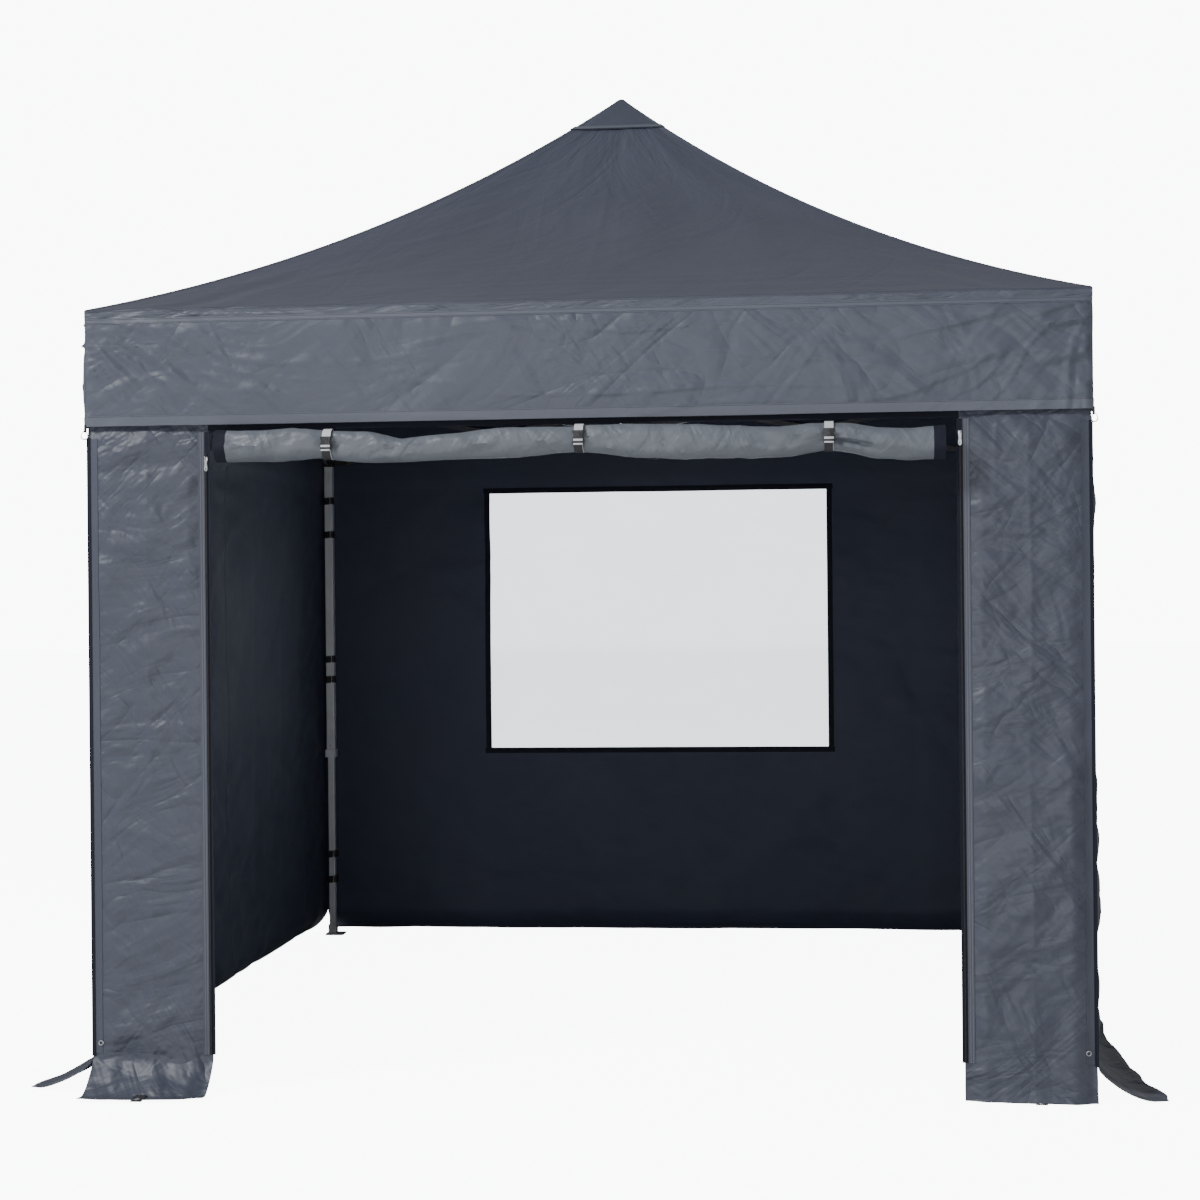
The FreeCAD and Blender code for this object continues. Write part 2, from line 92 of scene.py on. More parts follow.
class Bench:
    """The few modelling moves that every class shares."""

    @staticmethod
    def clear_selection() -> None:
        """Deselects every object, so that operators act on one piece only."""
        if bpy.context.object and bpy.context.object.mode != "OBJECT":
            bpy.ops.object.mode_set(mode="OBJECT")
        bpy.ops.object.select_all(action="DESELECT")

    @staticmethod
    def pick(piece: bpy.types.Object) -> None:
        """Makes the piece the only selected and active object."""
        Bench.clear_selection()
        piece.select_set(True)
        bpy.context.view_layer.objects.active = piece

    @staticmethod
    def settle(piece: bpy.types.Object) -> None:
        """Moves a piece's place, turn and size into its mesh."""
        Bench.pick(piece)
        bpy.ops.object.transform_apply(location=True, rotation=True, scale=True)

    @staticmethod
    def finish(piece: bpy.types.Object, *modifiers: str) -> None:
        """Applies the named modifiers in order."""
        Bench.pick(piece)
        for name in modifiers:
            bpy.ops.object.modifier_apply(modifier=name)

    @staticmethod
    def block(name: str, low: Sequence[float], high: Sequence[float]) -> bpy.types.Object:
        """Adds a box between two corners, with its place in its mesh.

        Args:
            name: the piece's name.
            low: lowest corner in metres.
            high: highest corner in metres.

        Returns:
            The new object.
        """
        Bench.clear_selection()
        middle = [(a + b) / 2.0 for a, b in zip(low, high)]
        size = [b - a for a, b in zip(low, high)]
        bpy.ops.mesh.primitive_cube_add(size=1.0, location=middle, scale=size)
        piece = bpy.context.object
        piece.name = name
        Bench.settle(piece)
        return piece

    @staticmethod
    def round_edges(piece: bpy.types.Object, width: float, segments: int = 2) -> None:
        """Rounds the edges of a piece with an applied bevel."""
        bevel = piece.modifiers.new("round", "BEVEL")
        bevel.width = width
        bevel.segments = segments
        bevel.limit_method = "ANGLE"
        bevel.angle_limit = math.radians(35.0)
        Bench.finish(piece, "round")

    @staticmethod
    def smooth(piece: bpy.types.Object, angle: float = 40.0) -> None:
        """Shades a piece smooth, but keeps edges sharper than the angle."""
        Bench.pick(piece)
        bpy.ops.object.shade_smooth_by_angle(angle=math.radians(angle))

    @staticmethod
    def join(name: str, parts: Sequence[bpy.types.Object]) -> bpy.types.Object:
        """Joins parts into one piece.

        Args:
            name: the joined piece's name.
            parts: the objects to join; the first one is kept.

        Returns:
            The joined object.
        """
        Bench.pick(parts[0])
        for part in parts[1:]:
            part.select_set(True)
        bpy.ops.object.join()
        piece = bpy.context.object
        piece.name = name
        return piece

    @staticmethod
    def dress(piece: bpy.types.Object, *finishes: bpy.types.Material) -> None:
        """Gives a piece its materials, in slot order."""
        piece.data.materials.clear()
        for finish in finishes:
            piece.data.materials.append(finish)


def hang(piece: bpy.types.Object, body: str, slot: str, side: Side, keep: float) -> None:
    """Makes a soft piece ride on a body, with its own copy of its mesh.

    Args:
        piece: the soft piece.
        body: the body that it rides on.
        slot: the record's material slot name; not used.
        side: the side that it would gather along; not used.
        keep: the share of its length that would be left when folded; not used.
    """
    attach(piece, body)
    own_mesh(piece)


def quarter_turned(points: np.ndarray, side: Side) -> np.ndarray:
    """Turns points drawn on the front to a side.

    Args:
        points: an array of x, y, z rows.
        side: the side to turn them to.

    Returns:
        The turned rows.
    """
    out = points.copy()
    for _ in range(side.value):
        out = np.column_stack([-out[:, 1], out[:, 0], out[:, 2]])
    return out


# ---------------------------------------------------------------- cloth shapes


@dataclass(frozen=True)
class Crumple:
    """Smooth seeded noise that cloth folds and wrinkles are made from."""

    seed: int

    def noise(self, x: np.ndarray, y: np.ndarray, shift: int = 0) -> np.ndarray:
        """Value noise from -1 to 1 with a period of one unit.

        Args:
            x: first coordinate.
            y: second coordinate.
            shift: picks another field of the same seed.

        Returns:
            The noise at each point.
        """
        table = np.random.default_rng(self.seed * 101 + shift).uniform(-1.0, 1.0, (97, 97))
        xi = np.floor(x).astype(int)
        yi = np.floor(y).astype(int)
        fx = x - xi
        fy = y - yi
        fx = fx * fx * fx * (fx * (fx * 6.0 - 15.0) + 10.0)
        fy = fy * fy * fy * (fy * (fy * 6.0 - 15.0) + 10.0)
        a = table[xi % 97, yi % 97]
        b = table[(xi + 1) % 97, yi % 97]
        c = table[xi % 97, (yi + 1) % 97]
        d = table[(xi + 1) % 97, (yi + 1) % 97]
        return (a * (1 - fx) + b * fx) * (1 - fy) + (c * (1 - fx) + d * fx) * fy

    def ridge(self, x: np.ndarray, y: np.ndarray, shift: int = 0) -> np.ndarray:
        """Noise with narrow raised lines, like the pulled creases in cloth, from 0 to 1."""
        return np.clip(1.0 - 2.2 * np.abs(self.noise(x, y, shift)), 0.0, 1.0) ** 2

    def dents(self, s: np.ndarray, z: np.ndarray, size: float, shift: int) -> np.ndarray:
        """Flat facets that meet in soft edges, as in cloth that was packed, about 0 to 1.

        Args:
            s: distance along the cloth.
            z: distance up the cloth.
            size: typical facet size in metres.
            shift: picks the pattern.

        Returns:
            The height at each point.
        """
        warp = 0.4 * self.noise(s / size * 0.6, z / size * 0.6, shift)
        total = np.zeros_like(s)
        for index, turn in enumerate((0.35, 1.25, 2.2)):
            along = (s * math.cos(turn) + z * math.sin(turn)) / size
            across = (z * math.cos(turn) - s * math.sin(turn)) / size
            total += np.abs(self.noise(along * 0.45 + warp, across * 1.05 - warp, shift + 1 + index))
        return total / 1.6

    def drape(self, s: np.ndarray, z: np.ndarray) -> np.ndarray:
        """The height of hanging cloth: broad waves, slanting creases and facets, about -1 to 1."""
        warp = 0.35 * self.noise(s * 1.9, z * 1.4, 1)
        broad = self.noise(s * 1.6 + warp, z * 0.8, 2)
        left = self.ridge((s + 0.55 * z) * 2.6 + warp, (z - 0.55 * s) * 0.9, 3)
        right = self.ridge((s - 0.75 * z) * 2.9 - warp, (z + 0.75 * s) * 0.8 + warp, 4)
        cross = self.ridge(s * 0.9 + warp, z * 3.1 + warp, 5)
        large = self.dents(s, z, 0.30, 10)
        medium = self.dents(s * 0.7, z * 1.3, 0.13, 20)
        small = self.dents(s * 0.6, z * 1.3, 0.06, 30)
        calm = 0.30 + 0.70 * np.clip(0.5 + self.noise(s * 2.3, z * 1.7, 7), 0.0, 1.0)
        pulls = 0.26 * left + 0.28 * right + 0.50 * cross
        return 0.35 * broad + pulls + calm * (0.90 * large + 0.95 * medium + 0.42 * small) - 0.30


def crease(distance: np.ndarray, width: float) -> np.ndarray:
    """A fold line left from packing: 1 on the line, falling to 0 within its width."""
    return np.exp(-np.abs(distance) / width)


def ease(value: np.ndarray, low: float, high: float) -> np.ndarray:
    """A smooth step from 0 at low to 1 at high."""
    t = np.clip((value - low) / (high - low), 0.0, 1.0)
    return t * t * (3.0 - 2.0 * t)


@dataclass
class ClothSheet:
    """One sheet of cloth: a grid laid out by a placing function and given its thickness."""

    name: str
    columns: int
    rows: int
    place: Placer
    size: Tuple[float, float]
    thick: float = 0.0014
    sink: float = -1.0
    keep: Optional[Callable[[np.ndarray, np.ndarray], np.ndarray]] = None
    chart: Optional[Callable[[np.ndarray, np.ndarray], Tuple[np.ndarray, np.ndarray]]] = None

    def make(
        self, outside: bpy.types.Material, inside: Optional[bpy.types.Material] = None
    ) -> bpy.types.Object:
        """Builds the sheet.

        Args:
            outside: the finish of the face that looks outward.
            inside: the finish of the other face, or None for the same on both.

        Returns:
            The sheet, with a UV map in metres.
        """
        Bench.clear_selection()
        bpy.ops.mesh.primitive_grid_add(x_subdivisions=self.columns, y_subdivisions=self.rows, size=2.0)
        piece = bpy.context.object
        piece.name = self.name
        mesh = piece.data
        flat = np.zeros(len(mesh.vertices) * 3)
        mesh.vertices.foreach_get("co", flat)
        flat = flat.reshape(-1, 3)
        u = (flat[:, 0] + 1.0) / 2.0
        v = (flat[:, 1] + 1.0) / 2.0
        placed = self.place(u, v)
        mesh.vertices.foreach_set("co", placed.ravel())
        self._lay_map(mesh)
        if self.keep is not None:
            self._cut_away(piece, u, v)
        mesh.update()
        Bench.dress(piece, outside, inside or outside)
        solid = piece.modifiers.new("cloth", "SOLIDIFY")
        solid.thickness = self.thick
        solid.offset = self.sink
        solid.material_offset = 1
        solid.use_even_offset = False
        Bench.finish(piece, "cloth")
        Bench.smooth(piece, 60.0)
        return piece

    def _lay_map(self, mesh: bpy.types.Mesh) -> None:
        """Stretches the grid's UV map to metres along the cloth."""
        layer = mesh.uv_layers.active.data
        values = np.zeros(len(layer) * 2)
        layer.foreach_get("uv", values)
        values = values.reshape(-1, 2)
        if self.chart is not None:
            values = np.column_stack(self.chart(values[:, 0], values[:, 1]))
        else:
            values = values * np.array(self.size)
        layer.foreach_set("uv", values.ravel())

    def _cut_away(self, piece: bpy.types.Object, u: np.ndarray, v: np.ndarray) -> None:
        """Deletes the faces whose corners the keep function does not all hold."""
        held = self.keep(u, v)
        Bench.pick(piece)
        for face in piece.data.polygons:
            face.select = not all(held[i] for i in face.vertices)
        for edge in piece.data.edges:
            edge.select = False
        for vertex in piece.data.vertices:
            vertex.select = False
        bpy.ops.object.mode_set(mode="EDIT")
        bpy.ops.mesh.select_mode(type="FACE")
        bpy.ops.object.mode_set(mode="OBJECT")
        for face in piece.data.polygons:
            face.select = not all(held[i] for i in face.vertices)
        bpy.ops.object.mode_set(mode="EDIT")
        bpy.ops.mesh.delete(type="FACE")
        bpy.ops.object.mode_set(mode="OBJECT")


# ---------------------------------------------------------------- shader groups


class ShaderGroups:
    """Node groups that more than one finish uses, each built once."""

    _made: Dict[str, bpy.types.NodeTree] = {}

    @classmethod
    def _start(
        cls, name: str, inputs: Sequence[Tuple[str, str, object]], outputs: Sequence[Tuple[str, str]]
    ) -> bpy.types.NodeTree:
        """Makes an empty group with named sockets."""
        tree = bpy.data.node_groups.new(name, "ShaderNodeTree")
        for label, kind, value in inputs:
            socket = tree.interface.new_socket(label, in_out="INPUT", socket_type=kind)
            if value is not None:
                socket.default_value = value
        for label, kind in outputs:
            tree.interface.new_socket(label, in_out="OUTPUT", socket_type=kind)
        return tree

    @staticmethod
    def _node(tree: bpy.types.NodeTree, kind: str, **values: object) -> bpy.types.Node:
        """Adds a node and sets its plain properties."""
        node = tree.nodes.new(kind)
        for key, value in values.items():
            setattr(node, key, value)
        return node

    @classmethod
    def weave(cls) -> bpy.types.NodeTree:
        """Plain weave: threads that pass over and under, as a height from a map in metres."""
        if "weave" in cls._made:
            return cls._made["weave"]
        tree = cls._start(
            "plain_weave",
            [("Vector", "NodeSocketVector", None), ("Pitch", "NodeSocketFloat", 0.001)],
            [("Height", "NodeSocketFloat"), ("Gap", "NodeSocketFloat")],
        )
        inlet = cls._node(tree, "NodeGroupInput")
        outlet = cls._node(tree, "NodeGroupOutput")
        parts = cls._node(tree, "ShaderNodeSeparateXYZ")
        tree.links.new(inlet.outputs["Vector"], parts.inputs[0])
        waves = []
        for axis in ("X", "Y"):
            share = cls._node(tree, "ShaderNodeMath", operation="DIVIDE")
            tree.links.new(parts.outputs[axis], share.inputs[0])
            tree.links.new(inlet.outputs["Pitch"], share.inputs[1])
            turn = cls._node(tree, "ShaderNodeMath", operation="MULTIPLY")
            turn.inputs[1].default_value = math.pi
            tree.links.new(share.outputs[0], turn.inputs[0])
            wave = cls._node(tree, "ShaderNodeMath", operation="SINE")
            tree.links.new(turn.outputs[0], wave.inputs[0])
            waves.append(wave)
        over = cls._node(tree, "ShaderNodeMath", operation="MULTIPLY")
        tree.links.new(waves[0].outputs[0], over.inputs[0])
        tree.links.new(waves[1].outputs[0], over.inputs[1])
        height = cls._node(tree, "ShaderNodeMath", operation="ABSOLUTE")
        tree.links.new(over.outputs[0], height.inputs[0])
        gap = cls._node(tree, "ShaderNodeMath", operation="SUBTRACT")
        gap.inputs[0].default_value = 1.0
        tree.links.new(height.outputs[0], gap.inputs[1])
        tree.links.new(height.outputs[0], outlet.inputs["Height"])
        tree.links.new(gap.outputs[0], outlet.inputs["Gap"])
        cls._made["weave"] = tree
        return tree

    @classmethod
    def mottle(cls) -> bpy.types.NodeTree:
        """Slow changes of tone, with faint handling marks, as a colour and a mask."""
        if "mottle" in cls._made:
            return cls._made["mottle"]
        tree = cls._start(
            "soft_mottle",
            [
                ("Vector", "NodeSocketVector", None),
                ("Base", "NodeSocketColor", (0.1, 0.1, 0.1, 1)),
                ("Other", "NodeSocketColor", (0.2, 0.2, 0.2, 1)),
                ("Scale", "NodeSocketFloat", 2.0),
            ],
            [("Colour", "NodeSocketColor"), ("Mask", "NodeSocketFloat")],
        )
        inlet = cls._node(tree, "NodeGroupInput")
        outlet = cls._node(tree, "NodeGroupOutput")
        cloud = cls._node(tree, "ShaderNodeTexNoise")
        cloud.inputs["Detail"].default_value = 5.0
        cloud.inputs["Distortion"].default_value = 0.6
        tree.links.new(inlet.outputs["Vector"], cloud.inputs["Vector"])
        tree.links.new(inlet.outputs["Scale"], cloud.inputs["Scale"])
        ramp = cls._node(tree, "ShaderNodeMapRange")
        ramp.inputs["From Min"].default_value = 0.3
        ramp.inputs["From Max"].default_value = 0.72
        tree.links.new(cloud.outputs["Fac"], ramp.inputs["Value"])
        blend = cls._node(tree, "ShaderNodeMix", data_type="RGBA")
        tree.links.new(ramp.outputs["Result"], blend.inputs["Factor"])
        tree.links.new(inlet.outputs["Base"], blend.inputs["A"])
        tree.links.new(inlet.outputs["Other"], blend.inputs["B"])
        tree.links.new(blend.outputs["Result"], outlet.inputs["Colour"])
        tree.links.new(ramp.outputs["Result"], outlet.inputs["Mask"])
        cls._made["mottle"] = tree
        return tree

    @classmethod
    def wrinkle(cls) -> bpy.types.NodeTree:
        """Fine packing wrinkles as a height, from crossed stretched noise."""
        if "wrinkle" in cls._made:
            return cls._made["wrinkle"]
        tree = cls._start(
            "fine_wrinkle",
            [("Vector", "NodeSocketVector", None), ("Scale", "NodeSocketFloat", 6.0)],
            [("Height", "NodeSocketFloat")],
        )
        inlet = cls._node(tree, "NodeGroupInput")
        outlet = cls._node(tree, "NodeGroupOutput")
        fields = []
        for stretch, turn in (((1.0, 2.8, 1.0), 0.7), ((1.0, 3.2, 1.0), -0.9), ((1.0, 3.0, 1.0), 1.75)):
            mapping = cls._node(tree, "ShaderNodeMapping", vector_type="TEXTURE")
            mapping.inputs["Scale"].default_value = stretch
            mapping.inputs["Rotation"].default_value = (0.0, 0.0, turn)
            tree.links.new(inlet.outputs["Vector"], mapping.inputs["Vector"])
            noise = cls._node(tree, "ShaderNodeTexNoise")
            noise.inputs["Detail"].default_value = 3.0
            noise.inputs["Distortion"].default_value = 0.8
            tree.links.new(mapping.outputs["Vector"], noise.inputs["Vector"])
            tree.links.new(inlet.outputs["Scale"], noise.inputs["Scale"])
            centre = cls._node(tree, "ShaderNodeMath", operation="SUBTRACT")
            centre.inputs[1].default_value = 0.5
            tree.links.new(noise.outputs["Fac"], centre.inputs[0])
            fold = cls._node(tree, "ShaderNodeMath", operation="ABSOLUTE")
            tree.links.new(centre.outputs[0], fold.inputs[0])
            fields.append(fold)
        total = fields[0]
        for extra in fields[1:]:
            adder = cls._node(tree, "ShaderNodeMath", operation="ADD")
            tree.links.new(total.outputs[0], adder.inputs[0])
            tree.links.new(extra.outputs[0], adder.inputs[1])
            total = adder
        tree.links.new(total.outputs[0], outlet.inputs["Height"])
        cls._made["wrinkle"] = tree
        return tree

    @classmethod
    def stitch(cls) -> bpy.types.NodeTree:
        """A row of stitches at a height on the map: 1 on each stitch and 0 between."""
        if "stitch" in cls._made:
            return cls._made["stitch"]
        tree = cls._start(
            "stitch_row",
            [
                ("Vector", "NodeSocketVector", None),
                ("Row", "NodeSocketFloat", 0.005),
                ("Pitch", "NodeSocketFloat", 0.005),
                ("Half Width", "NodeSocketFloat", 0.0007),
            ],
            [("Mask", "NodeSocketFloat")],
        )
        inlet = cls._node(tree, "NodeGroupInput")
        outlet = cls._node(tree, "NodeGroupOutput")
        parts = cls._node(tree, "ShaderNodeSeparateXYZ")
        tree.links.new(inlet.outputs["Vector"], parts.inputs[0])
        away = cls._node(tree, "ShaderNodeMath", operation="SUBTRACT")
        tree.links.new(parts.outputs["Y"], away.inputs[0])
        tree.links.new(inlet.outputs["Row"], away.inputs[1])
        size = cls._node(tree, "ShaderNodeMath", operation="ABSOLUTE")
        tree.links.new(away.outputs[0], size.inputs[0])
        near = cls._node(tree, "ShaderNodeMath", operation="LESS_THAN")
        tree.links.new(size.outputs[0], near.inputs[0])
        tree.links.new(inlet.outputs["Half Width"], near.inputs[1])
        step = cls._node(tree, "ShaderNodeMath", operation="DIVIDE")
        tree.links.new(parts.outputs["X"], step.inputs[0])
        tree.links.new(inlet.outputs["Pitch"], step.inputs[1])
        part = cls._node(tree, "ShaderNodeMath", operation="FRACT")
        tree.links.new(step.outputs[0], part.inputs[0])
        on = cls._node(tree, "ShaderNodeMath", operation="LESS_THAN")
        on.inputs[1].default_value = 0.7
        tree.links.new(part.outputs[0], on.inputs[0])
        both = cls._node(tree, "ShaderNodeMath", operation="MULTIPLY")
        tree.links.new(near.outputs[0], both.inputs[0])
        tree.links.new(on.outputs[0], both.inputs[1])
        tree.links.new(both.outputs[0], outlet.inputs["Mask"])
        cls._made["stitch"] = tree
        return tree


def start_material(name: str) -> Tuple[bpy.types.Material, bpy.types.NodeTree, bpy.types.Node]:
    """Makes a material with a bare Principled shader.

    Args:
        name: the finish's name.

    Returns:
        The material, its node tree and its Principled node.
    """
    material = bpy.data.materials.new(name)
    material.use_nodes = True
    tree = material.node_tree
    shader = next(node for node in tree.nodes if node.type == "BSDF_PRINCIPLED")
    return material, tree, shader


def place_group(tree: bpy.types.NodeTree, group: bpy.types.NodeTree, **values: object) -> bpy.types.Node:
    """Adds a group to a material and sets its inputs; an underscore in a name stands for a space."""
    node = tree.nodes.new("ShaderNodeGroup")
    node.node_tree = group
    for key, value in values.items():
        node.inputs[key.replace("_", " ")].default_value = value
    return node


def rgba(colour: Colour) -> Tuple[float, float, float, float]:
    """A colour with full alpha."""
    return (colour[0], colour[1], colour[2], 1.0)


@dataclass(frozen=True)
class ClothFinish:
    """Coated polyester: fine weave, soft sheen, slow tone changes and packing wrinkles."""

    name: str
    colour: Colour
    other: Colour
    roughness: float = 0.50
    sheen: float = 0.06
    specular: float = 0.5
    pitch: float = 0.0011
    wrinkle: float = 0.0035
    wrinkle_scale: float = 7.0
    rows: Tuple[float, ...] = ()
    thread: Colour = (0.2, 0.21, 0.24)

    def make(self) -> bpy.types.Material:
        """Builds the material, which reads the sheet's own map in metres."""
        material, tree, shader = start_material(self.name)
        where = tree.nodes.new("ShaderNodeTexCoord").outputs["UV"]
        mottle = place_group(
            tree, ShaderGroups.mottle(), Base=rgba(self.colour), Other=rgba(self.other), Scale=1.6
        )
        weave = place_group(tree, ShaderGroups.weave(), Pitch=self.pitch)
        fold = place_group(tree, ShaderGroups.wrinkle(), Scale=self.wrinkle_scale)
        for node in (mottle, weave, fold):
            tree.links.new(where, node.inputs["Vector"])
        colour = mottle.outputs["Colour"]
        shade = tree.nodes.new("ShaderNodeMix")
        shade.data_type = "RGBA"
        shade.blend_type = "MULTIPLY"
        shade.inputs["B"].default_value = (0.86, 0.87, 0.89, 1.0)
        tree.links.new(weave.outputs["Gap"], shade.inputs["Factor"])
        tree.links.new(colour, shade.inputs["A"])
        colour = shade.outputs["Result"]
        rough = tree.nodes.new("ShaderNodeMapRange")
        rough.inputs["To Min"].default_value = self.roughness - 0.06
        rough.inputs["To Max"].default_value = self.roughness + 0.08
        tree.links.new(mottle.outputs["Mask"], rough.inputs["Value"])
        tree.links.new(rough.outputs["Result"], shader.inputs["Roughness"])
        coarse = tree.nodes.new("ShaderNodeBump")
        coarse.inputs["Strength"].default_value = 1.0
        coarse.inputs["Distance"].default_value = self.wrinkle
        tree.links.new(fold.outputs["Height"], coarse.inputs["Height"])
        fine = tree.nodes.new("ShaderNodeBump")
        fine.inputs["Strength"].default_value = 0.5
        fine.inputs["Distance"].default_value = 0.00012
        tree.links.new(weave.outputs["Height"], fine.inputs["Height"])
        tree.links.new(coarse.outputs["Normal"], fine.inputs["Normal"])
        normal = fine.outputs["Normal"]
        for row in self.rows:
            line = place_group(tree, ShaderGroups.stitch(), Row=row)
            tree.links.new(where, line.inputs["Vector"])
            sewn = tree.nodes.new("ShaderNodeMix")
            sewn.data_type = "RGBA"
            sewn.inputs["B"].default_value = rgba(self.thread)
            tree.links.new(line.outputs["Mask"], sewn.inputs["Factor"])
            tree.links.new(colour, sewn.inputs["A"])
            colour = sewn.outputs["Result"]
            raised = tree.nodes.new("ShaderNodeBump")
            raised.inputs["Distance"].default_value = 0.0006
            tree.links.new(line.outputs["Mask"], raised.inputs["Height"])
            tree.links.new(normal, raised.inputs["Normal"])
            normal = raised.outputs["Normal"]
        tree.links.new(colour, shader.inputs["Base Color"])
        tree.links.new(normal, shader.inputs["Normal"])
        shader.inputs["Sheen Weight"].default_value = self.sheen
        shader.inputs["Sheen Roughness"].default_value = 0.45
        shader.inputs["Specular IOR Level"].default_value = self.specular
        return material


@dataclass(frozen=True)
class PlasticFinish:
    """Moulded plastic with a fine grain and slightly dulled patches."""

    name: str
    colour: Colour
    other: Colour
    roughness: float = 0.45
    grain: float = 900.0

    def make(self) -> bpy.types.Material:
        """Builds the material on object coordinates."""
        material, tree, shader = start_material(self.name)
        where = tree.nodes.new("ShaderNodeTexCoord").outputs["Object"]
        mottle = place_group(
            tree, ShaderGroups.mottle(), Base=rgba(self.colour), Other=rgba(self.other), Scale=18.0
        )
        tree.links.new(where, mottle.inputs["Vector"])
        tree.links.new(mottle.outputs["Colour"], shader.inputs["Base Color"])
        grain = tree.nodes.new("ShaderNodeTexNoise")
        grain.inputs["Scale"].default_value = self.grain
        tree.links.new(where, grain.inputs["Vector"])
        rough = tree.nodes.new("ShaderNodeMapRange")
        rough.inputs["To Min"].default_value = self.roughness - 0.08
        rough.inputs["To Max"].default_value = self.roughness + 0.12
        tree.links.new(mottle.outputs["Mask"], rough.inputs["Value"])
        tree.links.new(rough.outputs["Result"], shader.inputs["Roughness"])
        bump = tree.nodes.new("ShaderNodeBump")
        bump.inputs["Strength"].default_value = 0.4
        bump.inputs["Distance"].default_value = 0.0002
        tree.links.new(grain.outputs["Fac"], bump.inputs["Height"])
        tree.links.new(bump.outputs["Normal"], shader.inputs["Normal"])
        return material


@dataclass(frozen=True)
class MetalFinish:
    """Drawn or coated metal with lengthwise streaks and small scuffs."""

    name: str
    colour: Colour
    other: Colour
    metallic: float = 1.0
    roughness: float = 0.34
    streak: Tuple[float, float, float] = (900.0, 900.0, 6.0)

    def make(self) -> bpy.types.Material:
        """Builds the material on object coordinates."""
        material, tree, shader = start_material(self.name)
        where = tree.nodes.new("ShaderNodeTexCoord").outputs["Object"]
        mapping = tree.nodes.new("ShaderNodeMapping")
        mapping.inputs["Scale"].default_value = self.streak
        tree.links.new(where, mapping.inputs["Vector"])
        line = tree.nodes.new("ShaderNodeTexNoise")
        line.inputs["Scale"].default_value = 1.0
        line.inputs["Detail"].default_value = 3.0
        tree.links.new(mapping.outputs["Vector"], line.inputs["Vector"])
        scuff = place_group(
            tree, ShaderGroups.mottle(), Base=rgba(self.colour), Other=rgba(self.other), Scale=9.0
        )
        tree.links.new(where, scuff.inputs["Vector"])
        tree.links.new(scuff.outputs["Colour"], shader.inputs["Base Color"])
        rough = tree.nodes.new("ShaderNodeMapRange")
        rough.inputs["To Min"].default_value = self.roughness - 0.08
        rough.inputs["To Max"].default_value = self.roughness + 0.14
        tree.links.new(line.outputs["Fac"], rough.inputs["Value"])
        tree.links.new(rough.outputs["Result"], shader.inputs["Roughness"])
        bump = tree.nodes.new("ShaderNodeBump")
        bump.inputs["Strength"].default_value = 0.3
        bump.inputs["Distance"].default_value = 0.0001
        tree.links.new(line.outputs["Fac"], bump.inputs["Height"])
        tree.links.new(bump.outputs["Normal"], shader.inputs["Normal"])
        shader.inputs["Metallic"].default_value = self.metallic
        return material


@dataclass(frozen=True)
class FilmFinish:
    """Clear flexible window film, slightly hazy and rippled."""

    name: str
    tint: Colour

    def make(self) -> bpy.types.Material:
        """Builds the material on object coordinates."""
        material, tree, shader = start_material(self.name)
        where = tree.nodes.new("ShaderNodeTexCoord").outputs["Object"]
        ripple = tree.nodes.new("ShaderNodeTexNoise")
        ripple.inputs["Scale"].default_value = 3.5
        ripple.inputs["Detail"].default_value = 2.0
        tree.links.new(where, ripple.inputs["Vector"])
        bump = tree.nodes.new("ShaderNodeBump")
        bump.inputs["Strength"].default_value = 0.5
        bump.inputs["Distance"].default_value = 0.004
        tree.links.new(ripple.outputs["Fac"], bump.inputs["Height"])
        tree.links.new(bump.outputs["Normal"], shader.inputs["Normal"])
        haze = place_group(
            tree,
            ShaderGroups.mottle(),
            Base=rgba(self.tint),
            Other=rgba(tuple(c * 0.97 for c in self.tint)),
            Scale=2.0,
        )
        tree.links.new(where, haze.inputs["Vector"])
        tree.links.new(haze.outputs["Colour"], shader.inputs["Base Color"])
        shader.inputs["Roughness"].default_value = 0.12
        shader.inputs["Transmission Weight"].default_value = 1.0
        shader.inputs["IOR"].default_value = 1.12
        return material


